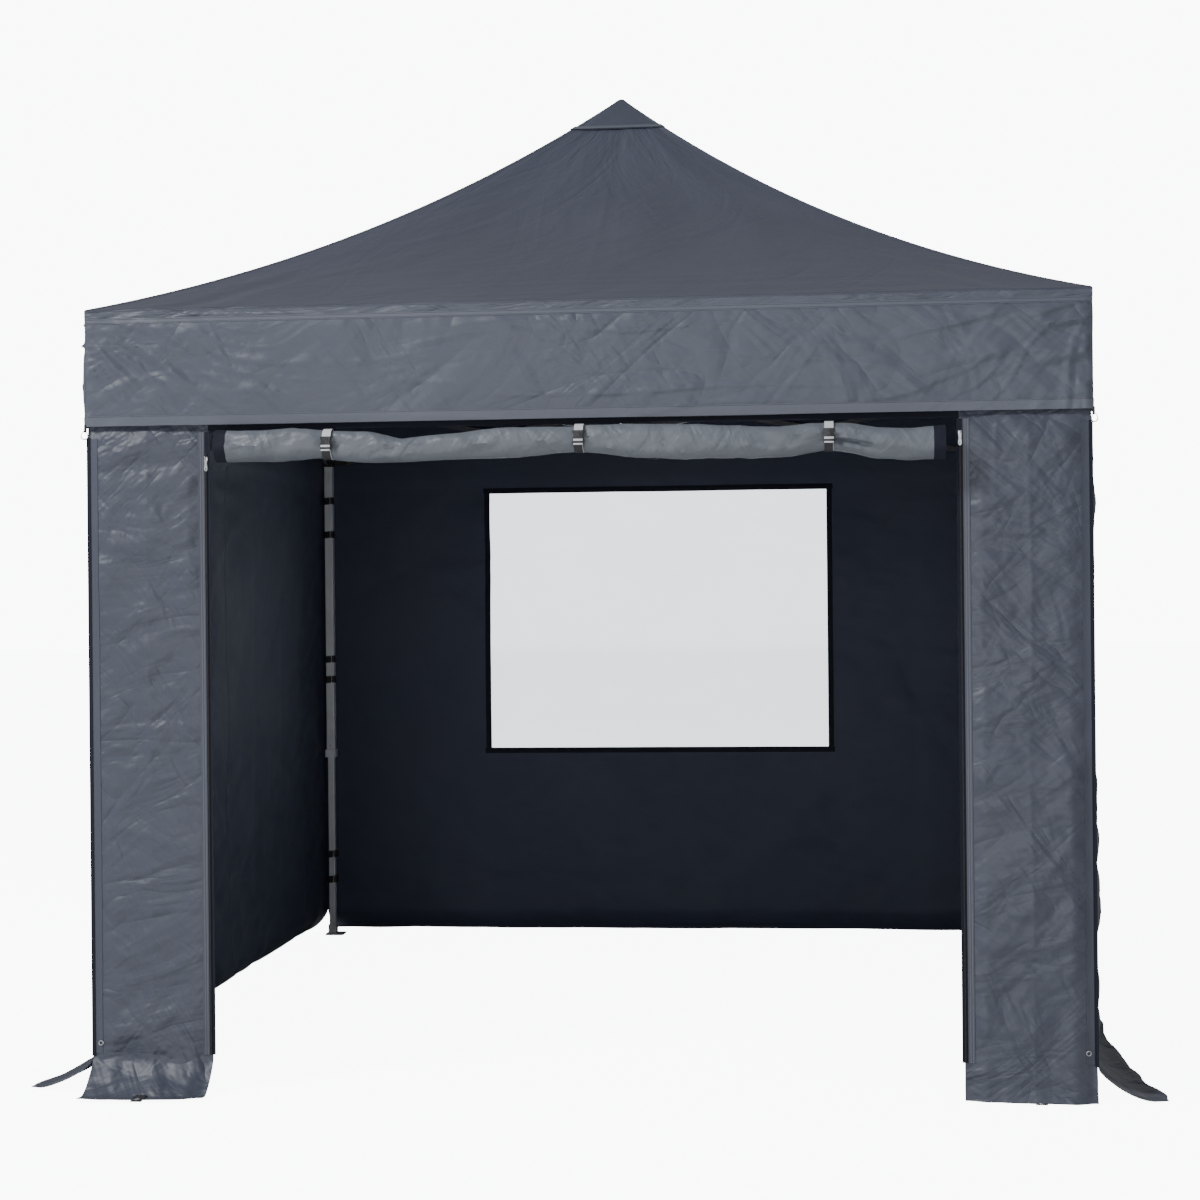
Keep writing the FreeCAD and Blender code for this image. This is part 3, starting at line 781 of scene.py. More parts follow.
class Finishes:
    """Every finish of the tent, made once."""

    def __init__(self) -> None:
        """Makes the materials."""
        outer: Colour = (0.049, 0.056, 0.081)
        outer_light: Colour = (0.061, 0.069, 0.097)
        # The roof's two tones are painted shade: darker copies of the tent cloth, so that the sloped roof
        # reads darker than the walls and valance.
        roof: Colour = (0.043, 0.049, 0.075)
        shaded_roof_other: Colour = (0.053, 0.060, 0.089)
        # The inside tones are partly a real dark coating and partly painted shade, darkened to stand in for
        # the shade inside the tent.
        inner: Colour = (0.037, 0.046, 0.083)
        shaded_inner_other: Colour = (0.048, 0.059, 0.101)
        self.roof = ClothFinish("roof_cloth", roof, shaded_roof_other, wrinkle=0.010, wrinkle_scale=3.5).make()
        self.wall = ClothFinish("wall_cloth", outer, outer_light, wrinkle=0.026, wrinkle_scale=6.5).make()
        self.valance = ClothFinish(
            "valance_cloth", (0.067, 0.076, 0.104), (0.081, 0.091, 0.121), wrinkle=0.022, wrinkle_scale=5.0
        ).make()
        self.lining = ClothFinish("inner_coating_and_painted_shade", inner, shaded_inner_other, roughness=0.7, sheen=0.04).make()
        self.door = ClothFinish(
            "door_cloth", (0.108, 0.120, 0.143), (0.130, 0.144, 0.168), wrinkle=0.014, wrinkle_scale=11.0
        ).make()
        self.seam = ClothFinish(
            "eave_seam",
            (0.086, 0.096, 0.126),
            (0.100, 0.110, 0.142),
            wrinkle=0.001,
            rows=(0.003, 0.013),
            thread=(0.018, 0.020, 0.032),
        ).make()
        self.hem = ClothFinish(
            "hem_band", outer, outer_light, wrinkle=0.0016, rows=(0.026,), thread=(0.05, 0.055, 0.075)
        ).make()
        self.valance_hem = ClothFinish(
            "valance_hem",
            (0.088, 0.098, 0.127),
            (0.104, 0.114, 0.146),
            wrinkle=0.004,
            rows=(0.028,),
            thread=(0.020, 0.022, 0.034),
        ).make()
        self.door_hem = ClothFinish(
            "stitched_edge",
            outer,
            outer_light,
            wrinkle=0.0012,
            rows=(0.005, 0.012),
            thread=(0.17, 0.18, 0.20),
        ).make()
        self.binding = ClothFinish(
            "navy_binding",
            (0.010, 0.011, 0.020),
            (0.015, 0.017, 0.029),
            roughness=0.7,
            sheen=0.02,
            specular=0.15,
            pitch=0.0016,
            wrinkle=0.001,
            rows=(0.004,),
            thread=(0.03, 0.03, 0.04),
        ).make()
        self.webbing = ClothFinish(
            "black_webbing", (0.012, 0.012, 0.014), (0.02, 0.02, 0.024), pitch=0.0022, wrinkle=0.0008
        ).make()
        # The pale webbing tone is partly the strap's own pale colour and partly a painted reflection of the
        # sky on the top of the satin straps.
        self.pale_webbing_and_painted_sheen = ClothFinish(
            "pale_webbing_and_painted_sheen",
            (0.55, 0.57, 0.58),
            (0.66, 0.67, 0.68),
            pitch=0.0022,
            wrinkle=0.0006,
            roughness=0.5,
        ).make()
        self.pole = MetalFinish("satin_pole", (0.76, 0.78, 0.81), (0.66, 0.68, 0.71), metallic=0.15).make()
        # The bars' near-black tone is painted shade: the bars sit in the shadow under the roof, so they are
        # made far darker than the pale legs.
        self.bar = MetalFinish(
            "bar_painted_shade", (0.10, 0.104, 0.112), (0.07, 0.073, 0.08), metallic=0.4, streak=(60.0, 60.0, 60.0)
        ).make()
        self.bright = MetalFinish(
            "plated_metal",
            (0.62, 0.63, 0.65),
            (0.5, 0.51, 0.53),
            roughness=0.30,
            streak=(300.0, 300.0, 300.0),
        ).make()
        self.black = PlasticFinish("black_moulding", (0.016, 0.016, 0.018), (0.026, 0.026, 0.029)).make()
        self.film = FilmFinish("clear_film", (0.80, 0.855, 0.895)).make()


# ---------------------------------------------------------------- roof


@dataclass
class Roof:
    """Four sewn panels in one curved surface, their hip tapes, the eave fold and the peak patch."""

    finishes: Finishes
    half: float = 1.5
    eave_z: float = 2.36
    rise: float = 0.961
    sag: float = 0.43
    columns: int = 200
    rows: int = 130
    fold_rows: float = 8.0
    fold_drop: float = 0.026
    fold_radius: float = 0.007
    patch_reach: float = 0.171
    tip: float = 0.018
    keep: float = 0.119

    def height(self, share: np.ndarray) -> np.ndarray:
        """Height of the roof at a share of the way from the eaves to the peak."""
        return self.eave_z + self.rise * (share - self.sag * share * (1.0 - share))

    def surface(self, across: np.ndarray, share: np.ndarray, seed: int) -> np.ndarray:
        """Points of a front panel.

        Args:
            across: -1 at the left hip to 1 at the right hip.
            share: 0 at the eave to 1 at the peak.
            seed: picks the panel's wrinkles.

        Returns:
            Rows of x, y, z.
        """
        width = self.half * (1.0 - share)
        x = across * width
        y = -self.half * (1.0 - share)
        crumple = Crumple(seed)
        free = (1.0 - across**2) * np.sin(math.pi * np.clip(share, 0.0, 1.0)) ** 0.7
        broad = 0.012 * crumple.noise(x * 1.1, share * 1.7) * free
        rays = 0.0035 * crumple.noise(
            across * 4.0, share * 1.3, 2
        ) * free + 0.0012 * crumple.ridge(across * 7.0, share * 0.9, 5) * free
        rays = rays + 0.006 * crumple.ridge(
            x * 0.9 + 0.4 * share, share * 26.0, 6
        ) * np.exp(-(((share - 0.10) / 0.09) ** 2)) * free
        pull = np.exp(-((1.0 - np.abs(across)) / 0.22) ** 2) * (1.0 - np.abs(across)) ** 0.5
        corner = 0.016 * crumple.noise(across * 16.0, share * 2.2, 3) * pull * np.exp(
            -(((share - 0.12) / 0.18) ** 2)
        )
        middle = 0.002 * crease(x, 0.012) * free
        z = self.height(share) + broad + rays + corner + middle - 0.012 * free
        return np.column_stack([x, y, z])

    def panel(self, side: Side) -> bpy.types.Object:
        """Builds one panel with the fold that turns down over the eave."""
        bend = self.fold_rows / self.rows

        def place(u: np.ndarray, v: np.ndarray) -> np.ndarray:
            across = 2.0 * u - 1.0
            share = np.clip((v - bend) / (1.0 - bend), 0.0, 1.0)
            share = np.minimum(share, 0.9985)
            points = self.surface(across, share, 11 + side.value)
            down = np.clip((bend - v) / bend, 0.0, 1.0)
            arc = np.clip(down / 0.5, 0.0, 1.0) * math.pi / 2.0
            points[:, 1] += np.where(down > 0, -0.0006 * np.sin(arc), 0.0)
            points[:, 2] += np.where(
                down > 0,
                -self.fold_radius * (1.0 - np.cos(arc)) - np.clip(down - 0.5, 0.0, 1.0) * 2.0 * (
                    self.fold_drop - self.fold_radius
                ),
                0.0,
            )
            points[:, 2] -= 0.0006
            return quarter_turned(points, side)

        sheet = ClothSheet(
            f"{side.word}_roof_cloth",
            self.columns,
            self.rows,
            place,
            (2.0 * self.half, 1.82),
            thick=CLOTH_THICK,
        )
        piece = sheet.make(self.finishes.roof, self.finishes.lining)
        piece.data.materials.append(self.finishes.valance)
        # Faces that turn down over the eave take the valance tone instead of the roof's painted shade.
        for face in piece.data.polygons:
            if face.material_index == 0 and face.center[2] < self.eave_z - self.fold_radius:
                face.material_index = 2
        return piece

    def hip_tape(self, side: Side, hand: float) -> bpy.types.Object:
        """Builds the stitched tape over one half of a hip."""

        def place(u: np.ndarray, v: np.ndarray) -> np.ndarray:
            share = 0.001 + 0.9965 * u
            reach = 0.013 * v
            width = self.half * (1.0 - share)
            across = hand * np.clip(1.0 - reach / np.maximum(width, 0.02), 0.0, 1.0)
            points = self.surface(across, share, 11 + side.value)
            points[:, 2] += 0.0012 - 0.0010 * v
            return quarter_turned(points, side)

        word = "left" if hand < 0 else "right"
        flip = (lambda u, v: place(1.0 - u, v)) if hand < 0 else place
        sheet = ClothSheet(f"{side.word}_hip_tape_{word}", 120, 2, flip, (2.33, 0.013), thick=TAPE_THICK)
        return sheet.make(self.finishes.hem)

    def patch(self) -> bpy.types.Object:
        """Builds the square cap sewn over the peak, with its rounded tip."""
        reach = self.patch_reach

        def place(u: np.ndarray, v: np.ndarray) -> np.ndarray:
            x = (2.0 * u - 1.0) * reach
            y = (2.0 * v - 1.0) * reach
            far = (np.abs(x) ** 9 + np.abs(y) ** 9 + 0.006**9) ** (1.0 / 9.0)
            z = self.height(1.0 - far / self.half)
            z = z - np.where(far < self.tip, 0.35 * (self.tip - far) ** 2 / self.tip, 0.0)
            edge = ease(far, reach - 0.008, reach)
            z = z + 0.0034 - 0.0024 * edge + 0.0007 * Crumple(5).noise(x * 22.0, y * 22.0)
            return np.column_stack([x, y, z])

        sheet = ClothSheet("peak_patch_cloth", 72, 72, place, (0.42, 0.42), thick=CLOTH_THICK)
        return sheet.make(self.finishes.roof, self.finishes.lining)

    def patch_hem(self, side: Side) -> bpy.types.Object:
        """Builds the stitched edge of the patch on one side."""

        def place(u: np.ndarray, v: np.ndarray) -> np.ndarray:
            y = -(0.1715 - 0.016 * v)
            x = (2.0 * u - 1.0) * -y
            z = self.height(1.0 + y / self.half) + 0.0048 - 0.0006 * v
            return quarter_turned(np.column_stack([x, y, z]), side)

        sheet = ClothSheet(f"{side.word}_patch_hem", 24, 3, place, (0.343, 0.016), thick=TAPE_THICK)
        return sheet.make(self.finishes.seam)

    def build(self) -> None:
        """Builds and places the whole roof."""
        hems = [self.patch_hem(side) for side in Side]
        cap = self.patch()
        for piece in [cap] + hems:
            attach(piece, "hub")
        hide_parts("peak_patch")
        for side in Side:
            body = f"{side.word}_roof"
            cloth = self.panel(side)
            tapes = [self.hip_tape(side, hand) for hand in (-1.0, 1.0)]
            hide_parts(f"{side.word}_roof_panel")
            for piece in [cloth] + tapes:
                hang(piece, body, "roof_fabric", side, self.keep)
            LOG.info("roof %s: panel and %d hip tapes", side.word, len(tapes))


# ---------------------------------------------------------------- valance


@dataclass
class Valance:
    """The straight band under the eaves, with its eave seam and bottom hem."""

    finishes: Finishes
    half: float = 1.5
    top: float = 2.345
    low: float = 2.008
    seam: Tuple[float, float] = (2.3165, 2.3325)
    hem_depth: float = 0.030
    keep: float = 0.119

    def outward(self, s: np.ndarray, z: np.ndarray, side: Side) -> np.ndarray:
        """How far the band stands from the tent's middle."""
        crumple = Crumple(31 + side.value)
        hang = ease(self.top - z, 0.0, 0.05)
        edge = self.half - np.abs(s)
        broad = 0.0040 * (1.0 + crumple.noise(s * 1.3, z * 1.1))
        total = broad
        for height, swing, share in ((self.top + 0.01, 10.0, 1.0), (self.low + 0.10, 7.0, 0.3)):
            away = np.hypot(edge, z - height)
            angle = np.arctan2(z - height, edge + 0.02) + 0.25 * crumple.noise(s * 3.0, z * 3.0, 8)
            rays = crumple.ridge(angle * swing, away * 1.6 + 5.0 * np.sign(s), 2)
            total = total + share * 0.0085 * rays * np.exp(-((away / 0.48) ** 2)) * ease(away, 0.02, 0.18)
        level = z + 0.22 * np.minimum(edge, 0.6)
        streak = crumple.ridge(s * 1.7 + z, level * 17.0 + 0.5 * crumple.noise(s * 2.0, z, 5), 3)
        gather = 0.0050 + 0.0085 * np.exp(-((edge / 0.40) ** 2))
        total = total + gather * streak * np.clip(0.5 + crumple.noise(s * 1.4, z * 3.0, 6), 0.0, 1.0)
        total = total + 0.0010 * crumple.noise(s * 4.0, z * 16.0, 4)
        corner = ease(edge, 0.0, 0.02)
        return self.half - 0.0012 + (hang * np.maximum(total, 0.0) + 0.0010) * corner

    def band(
        self,
        side: Side,
        name: str,
        low: float,
        high: float,
        proud: float,
        rows: int,
        finish: bpy.types.Material,
        inside: Optional[bpy.types.Material] = None,
    ) -> bpy.types.Object:
        """Builds a strip of the band between two heights.

        Args:
            side: the side it hangs on.
            name: the piece's name without its side.
            low: lower edge.
            high: upper edge.
            proud: how far it stands out of the band's own face.
            rows: grid rows.
            finish: outer material.
            inside: inner material.

        Returns:
            The strip.
        """

        def place(u: np.ndarray, v: np.ndarray) -> np.ndarray:
            s = (2.0 * u - 1.0) * (self.half - 0.0002)
            wave = 0.0025 * Crumple(41 + side.value).noise(s * 2.2, s * 0.0)
            z = low + v * (high - low) + wave * ease(
                high - (low + v * (high - low)), -0.05, 0.3
            ) * (1.0 if low < 2.1 else 0.0)
            out = self.outward(s, z, side) + proud
            return quarter_turned(np.column_stack([s, -out, z]), side)

        sheet = ClothSheet(f"{side.word}_{name}", 320, rows, place, (3.0, high - low), thick=CLOTH_THICK)
        return sheet.make(finish, inside)

    def build(self) -> None:
        """Builds and places the four bands."""
        for side in Side:
            cloth = self.band(
                side,
                "valance_cloth",
                self.low,
                self.top,
                0.0,
                56,
                self.finishes.valance,
                self.finishes.lining,
            )
            seam = self.band(side, "eave_seam", *self.seam, 0.0011, 2, self.finishes.seam)
            hem = self.band(
                side,
                "valance_hem",
                self.low - 0.0006,
                self.low + self.hem_depth,
                0.0019,
                4,
                self.finishes.valance_hem,
            )
            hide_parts(f"{side.word}_valance")
            for piece in (cloth, seam, hem):
                hang(piece, f"{side.word}_side", "wall_fabric", side, self.keep)
        LOG.info("valance: four bands with seams and hems")


# ---------------------------------------------------------------- walls


@dataclass
class Wall:
    """A hanging side wall with packing creases and a skirt that spreads on the ground."""

    finishes: Finishes
    side: Side
    seed: int
    columns: int = 170
    rows: int = 150
    half: float = 1.494
    face: float = 1.4945
    top: float = 2.348
    skirt_top: float = 0.10
    skirt_reach: float = 0.14
    depth: float = 0.011
    keep: float = 0.116
    hole: Optional[Tuple[float, float, float, float]] = None
    tail: float = 0.0
    upright_creases: Tuple[float, ...] = (-1.12, -0.75, -0.37, 0.37, 0.75, 1.12)
    level_creases: Tuple[float, ...] = (0.28, 0.55, 0.83, 1.10, 1.38, 1.66, 1.90)
    proudest: float = 0.030
    skirt: Optional[Tuple[Tuple[float, float, float], ...]] = None

    def columns_at(self, u: np.ndarray) -> np.ndarray:
        """Distance along the side for a grid column, with columns on the hole's edges."""
        if self.hole is None:
            return (2.0 * u - 1.0) * self.half
        left, right = self.hole[0], self.hole[1]
        side_share = 0.35 if self.hole[2] <= 0.0 else 0.25
        return np.interp(u, [0.0, side_share, 1.0 - side_share, 1.0], [-self.half, left, right, self.half])

    def rows_at(self, v: np.ndarray) -> np.ndarray:
        """Distance up the cloth from its hem, with rows on the hole's edges and the skirt's fold."""
        length = self.top + SKIRT_SLACK
        if self.hole is None:
            return v * length
        low, high = self.hole[2], self.hole[3]
        if low <= 0.0:
            return np.interp(v, [0.0, 0.84, 1.0], [0.0, high + SKIRT_SLACK, length])
        return np.interp(v, [0.0, 0.34, 0.84, 1.0], [0.0, low + SKIRT_SLACK, high + SKIRT_SLACK, length])

    def relief(self, s: np.ndarray, z: np.ndarray) -> np.ndarray:
        """Folds and creases of the cloth, outward positive."""
        crumple = Crumple(self.seed)
        free = ease(2.03 - z, 0.0, 0.12) * ease(1.0 - np.abs(s) / self.half, 0.0, 0.05)
        folds = self.depth * crumple.drape(s, z)
        wander = 0.012 * crumple.noise(s * 2.1, z * 2.1, 41)
        grid = np.zeros_like(s)
        for index, line in enumerate(self.upright_creases):
            sharp = 0.35 + 0.65 * np.clip(0.6 + crumple.noise(z * 2.7, s * 0.0 + index, 42), 0.0, 1.0)
            grid += 0.0042 * sharp * crease(s - line + wander * 0.5, 0.020)
        for index, line in enumerate(self.level_creases):
            sharp = np.clip(0.25 + crumple.noise(s * 3.3, z * 0.0 + index, 43), 0.0, 1.0)
            hand = 1.0 if index % 2 else -1.0
            grid += hand * 0.0048 * sharp * crease(z - line + wander, 0.016)
        edge = self.half - np.abs(s)
        if self.hole is not None and self.hole[2] <= 0.0:
            jamb = np.minimum(np.abs(s - self.hole[0]), np.abs(s - self.hole[1]))
            edge = np.minimum(edge, jamb)
            free = free * (0.02 + 0.98 * ease(jamb, 0.012, 0.07))
        pucker = 0.0022 * crumple.noise(z * 26.0 + 3.0 * edge, edge * 6.0, 44) * np.exp(-edge / 0.045)
        gather = 0.006 * crumple.ridge(
            s * 7.0 + 2.0 * wander, z * 2.2, 45
        ) * np.exp(-np.clip(2.0 - z, 0.0, None) / 0.10)
        free = free * ease(self.half - np.abs(s), 0.0, 0.03)
        total = folds + grid + pucker + gather
        outward = 0.5 * (total + np.sqrt(total**2 + 0.004**2))
        return np.minimum(outward, self.proudest) * free

    @staticmethod
    def tuck(z: np.ndarray) -> np.ndarray:
        """How far the cloth steps in behind the band above it."""
        return 0.0042 * ease(z, 1.975, 2.01)

    def spread(self, s: np.ndarray, down: np.ndarray) -> Tuple[np.ndarray, np.ndarray]:
        """Outward reach and height of the skirt below its fold.

        Args:
            s: distance along the side.
            down: distance from the fold towards the hem, from 0.

        Returns:
            Outward reach and height above the ground.
        """
        crumple = Crumple(self.seed + 7)
        part = np.clip(down / SKIRT_LENGTH, 0.0, 1.0)
        far = self.skirt_far(s) * (1.0 + 0.10 * crumple.noise(s * 1.7, s * 0.0))
        flat = np.clip(far / 0.10, 0.0, 1.0)
        bow = 0.010 * crumple.noise(s * 2.6, part * 1.2, 2) * np.sin(part * math.pi)
        reach = far * (flat * part**1.15 + (1.0 - flat) * part) + bow
        lift = 0.003 + 0.005 * (1.0 + crumple.noise(s * 3.1, part * 1.5, 3)) * part
        drop = self.skirt_top * (flat * (1.0 - part) ** 1.9 + (1.0 - flat) * (1.0 - part))
        return reach, np.maximum(drop, lift * part * flat + 0.0022)

    def skirt_far(self, s: np.ndarray) -> np.ndarray:
        """How far the hem lies out from the wall along the side."""
        if self.skirt is None:
            return np.full_like(s, self.skirt_reach)
        return np.interp(s, [point[0] for point in self.skirt], [point[1] for point in self.skirt])

    def place(self, u: np.ndarray, v: np.ndarray) -> np.ndarray:
        """Places the wall's grid."""
        s = self.columns_at(u)
        up = self.rows_at(v)
        below = np.clip(SKIRT_LENGTH - up, 0.0, None)
        z = np.where(up >= SKIRT_LENGTH, self.skirt_top + (up - SKIRT_LENGTH), self.skirt_top)
        z = np.minimum(z, self.top)
        out = self.face + self.relief(s, z)
        out -= self.tuck(z)
        reach, height = self.spread(s, below)
        out = out + np.where(below > 0.0, reach, 0.0)
        z = np.where(below > 0.0, height, z)
        if self.tail:
            end = np.exp(-(((self.half - s * (1 if self.tail > 0 else -1)) / 0.16) ** 2))
            out = out + abs(self.tail) * end * ease(below, 0.0, SKIRT_LENGTH)
        return quarter_turned(np.column_stack([s, -out, z]), self.side)

    def held(self, u: np.ndarray, v: np.ndarray) -> np.ndarray:
        """True where the cloth is kept around its hole."""
        left, right, low, high = self.hole
        s = self.columns_at(u)
        up = self.rows_at(v) - SKIRT_SLACK
        inside = (s > left + 0.001) & (s < right - 0.001) & (up < high - 0.001) & (
            up > low + (0.001 if low > 0.0 else -1.0)
        )
        return ~inside

    def build(self) -> bpy.types.Object:
        """Builds the wall's sheet."""
        keep = self.held if self.hole is not None else None
        name = f"{self.side.word}_wall_cloth"
        chart = lambda u, v: (self.columns_at(u) + self.half, self.rows_at(v))
        sheet = ClothSheet(
            name,
            self.columns,
            self.rows,
            self.place,
            (2.0 * self.half, self.top + SKIRT_SLACK),
            keep=keep,
            chart=chart,
        )
        cloth = sheet.make(self.finishes.wall, self.finishes.lining)
        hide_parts(f"{self.side.word}_wall")
        self.carry(cloth)
        return cloth

    def carry(self, piece: bpy.types.Object, slot: str = "wall_fabric") -> None:
        """Makes a piece ride on this side."""
        hang(piece, f"{self.side.word}_side", slot, self.side, self.keep)

    def strip(
        self,
        name: str,
        s_range: Tuple[float, float],
        z_range: Tuple[float, float],
        proud: float,
        upright: bool,
        finish: bpy.types.Material,
        thick: float = CLOTH_THICK,
    ) -> bpy.types.Object:
        """Builds a tape or hem that follows the wall's face.

        Args:
            name: the piece's name.
            s_range: distance along the side, from and to.
            z_range: height, from and to.
            proud: how far it stands out; negative puts it inside.
            upright: True when it runs up the wall.
            finish: its material.
            thick: its thickness.

        Returns:
            The strip.
        """
        wide = abs(s_range[1] - s_range[0])
        tall = abs(z_range[1] - z_range[0])

        def place(u: np.ndarray, v: np.ndarray) -> np.ndarray:
            if upright:
                s = s_range[1] + (s_range[0] - s_range[1]) * v
                z = z_range[0] + tall * u
            else:
                s = s_range[0] + wide * u
                z = z_range[0] + tall * v
            out = self.face + self.relief(s, z) - self.tuck(z) + proud
            return quarter_turned(np.column_stack([s, -out, z]), self.side)

        length = tall if upright else wide
        across = wide if upright else tall
        sheet = ClothSheet(name, max(8, int(length / 0.018)), 3, place, (length, across), thick=thick)
        return sheet.make(finish)


@dataclass
class WindowWall:
    """The rear wall: cloth with a bound window of clear film."""

    finishes: Finishes
    half: float = 0.754
    low: float = 0.817
    high: float = 1.963
    overlap: float = 0.006
    film_cut: Tuple[float, float] = (1.52, 1.158)

    def film(self, wall: Wall) -> bpy.types.Object:
        """Builds the clear film, which follows the wall and billows a little."""

        def place(u: np.ndarray, v: np.ndarray) -> np.ndarray:
            s = (2.0 * u - 1.0) * (self.half + self.overlap)
            z = self.low - self.overlap + v * (self.high - self.low + 2.0 * self.overlap)
            out = wall.face + wall.relief(s, z) - 0.0010
            return quarter_turned(np.column_stack([s, -out, z]), wall.side)

        sheet = ClothSheet("window_film", 90, 70, place, self.film_cut, thick=0.0005)
        return sheet.make(self.finishes.film)

    def build(self) -> None:
        """Builds the wall, the film and its binding on both faces."""
        hole = (-self.half, self.half, self.low, self.high)
        wall = Wall(self.finishes, Side.BACK, 23, hole=hole)
        cloth = wall.build()
        film = self.film(wall)
        tapes: List[bpy.types.Object] = []
        for face, proud in (("out", 0.0014), ("in", -0.0016)):
            for name, s_range, z_range, upright in (
                ("low", (-self.half - 0.02, self.half + 0.02), (self.low - 0.016, self.low + 0.008), False),
                (
                    "high",
                    (-self.half - 0.02, self.half + 0.02),
                    (self.high - 0.008, self.high + 0.016),
                    False,
                ),
                ("left", (-self.half - 0.016, -self.half + 0.008), (self.low, self.high), True),
                ("right", (self.half - 0.008, self.half + 0.016), (self.low, self.high), True),
            ):
                tapes.append(
                    wall.strip(
                        f"window_binding_{face}_{name}",
                        s_range,
                        z_range,
                        proud,
                        upright,
                        self.finishes.binding,
                    )
                )
        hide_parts("back_window")
        wall.carry(film, "clear_film")
        for tape in tapes:
            wall.carry(tape)
        LOG.info("rear wall: cloth, film and %d binding tapes", len(tapes))


@dataclass
class PlainWalls:
    """The two closed side walls with their sewn middle seam and edge hems."""

    finishes: Finishes

    def build(self) -> None:
        """Builds and places both walls."""
        for side, seed, tail in ((Side.RIGHT, 17, -0.05), (Side.LEFT, 29, 0.05)):
            wall = Wall(self.finishes, side, seed, tail=tail)
            cloth = wall.build()
            tapes = [
                wall.strip(
                    f"{side.word}_edge_hem_near",
                    (-wall.half + 0.001, -wall.half + 0.032),
                    (0.11, 1.97),
                    0.0013,
                    True,
                    self.finishes.hem,
                ),
                wall.strip(
                    f"{side.word}_edge_hem_far",
                    (wall.half - 0.032, wall.half - 0.001),
                    (0.11, 1.97),
                    0.0013,
                    True,
                    self.finishes.hem,
                ),
                wall.strip(
                    f"{side.word}_middle_seam_out",
                    (-0.012, 0.012),
                    (0.11, 1.99),
                    0.0012,
                    True,
                    self.finishes.seam,
                ),
                wall.strip(
                    f"{side.word}_middle_seam_in",
                    (-0.012, 0.012),
                    (0.11, 1.99),
                    -0.0016,
                    True,
                    self.finishes.lining,
                ),
            ]
            for tape in tapes:
                wall.carry(tape)
            LOG.info("%s wall: cloth and %d tapes", side.word, len(tapes))


# ---------------------------------------------------------------- front wall and door


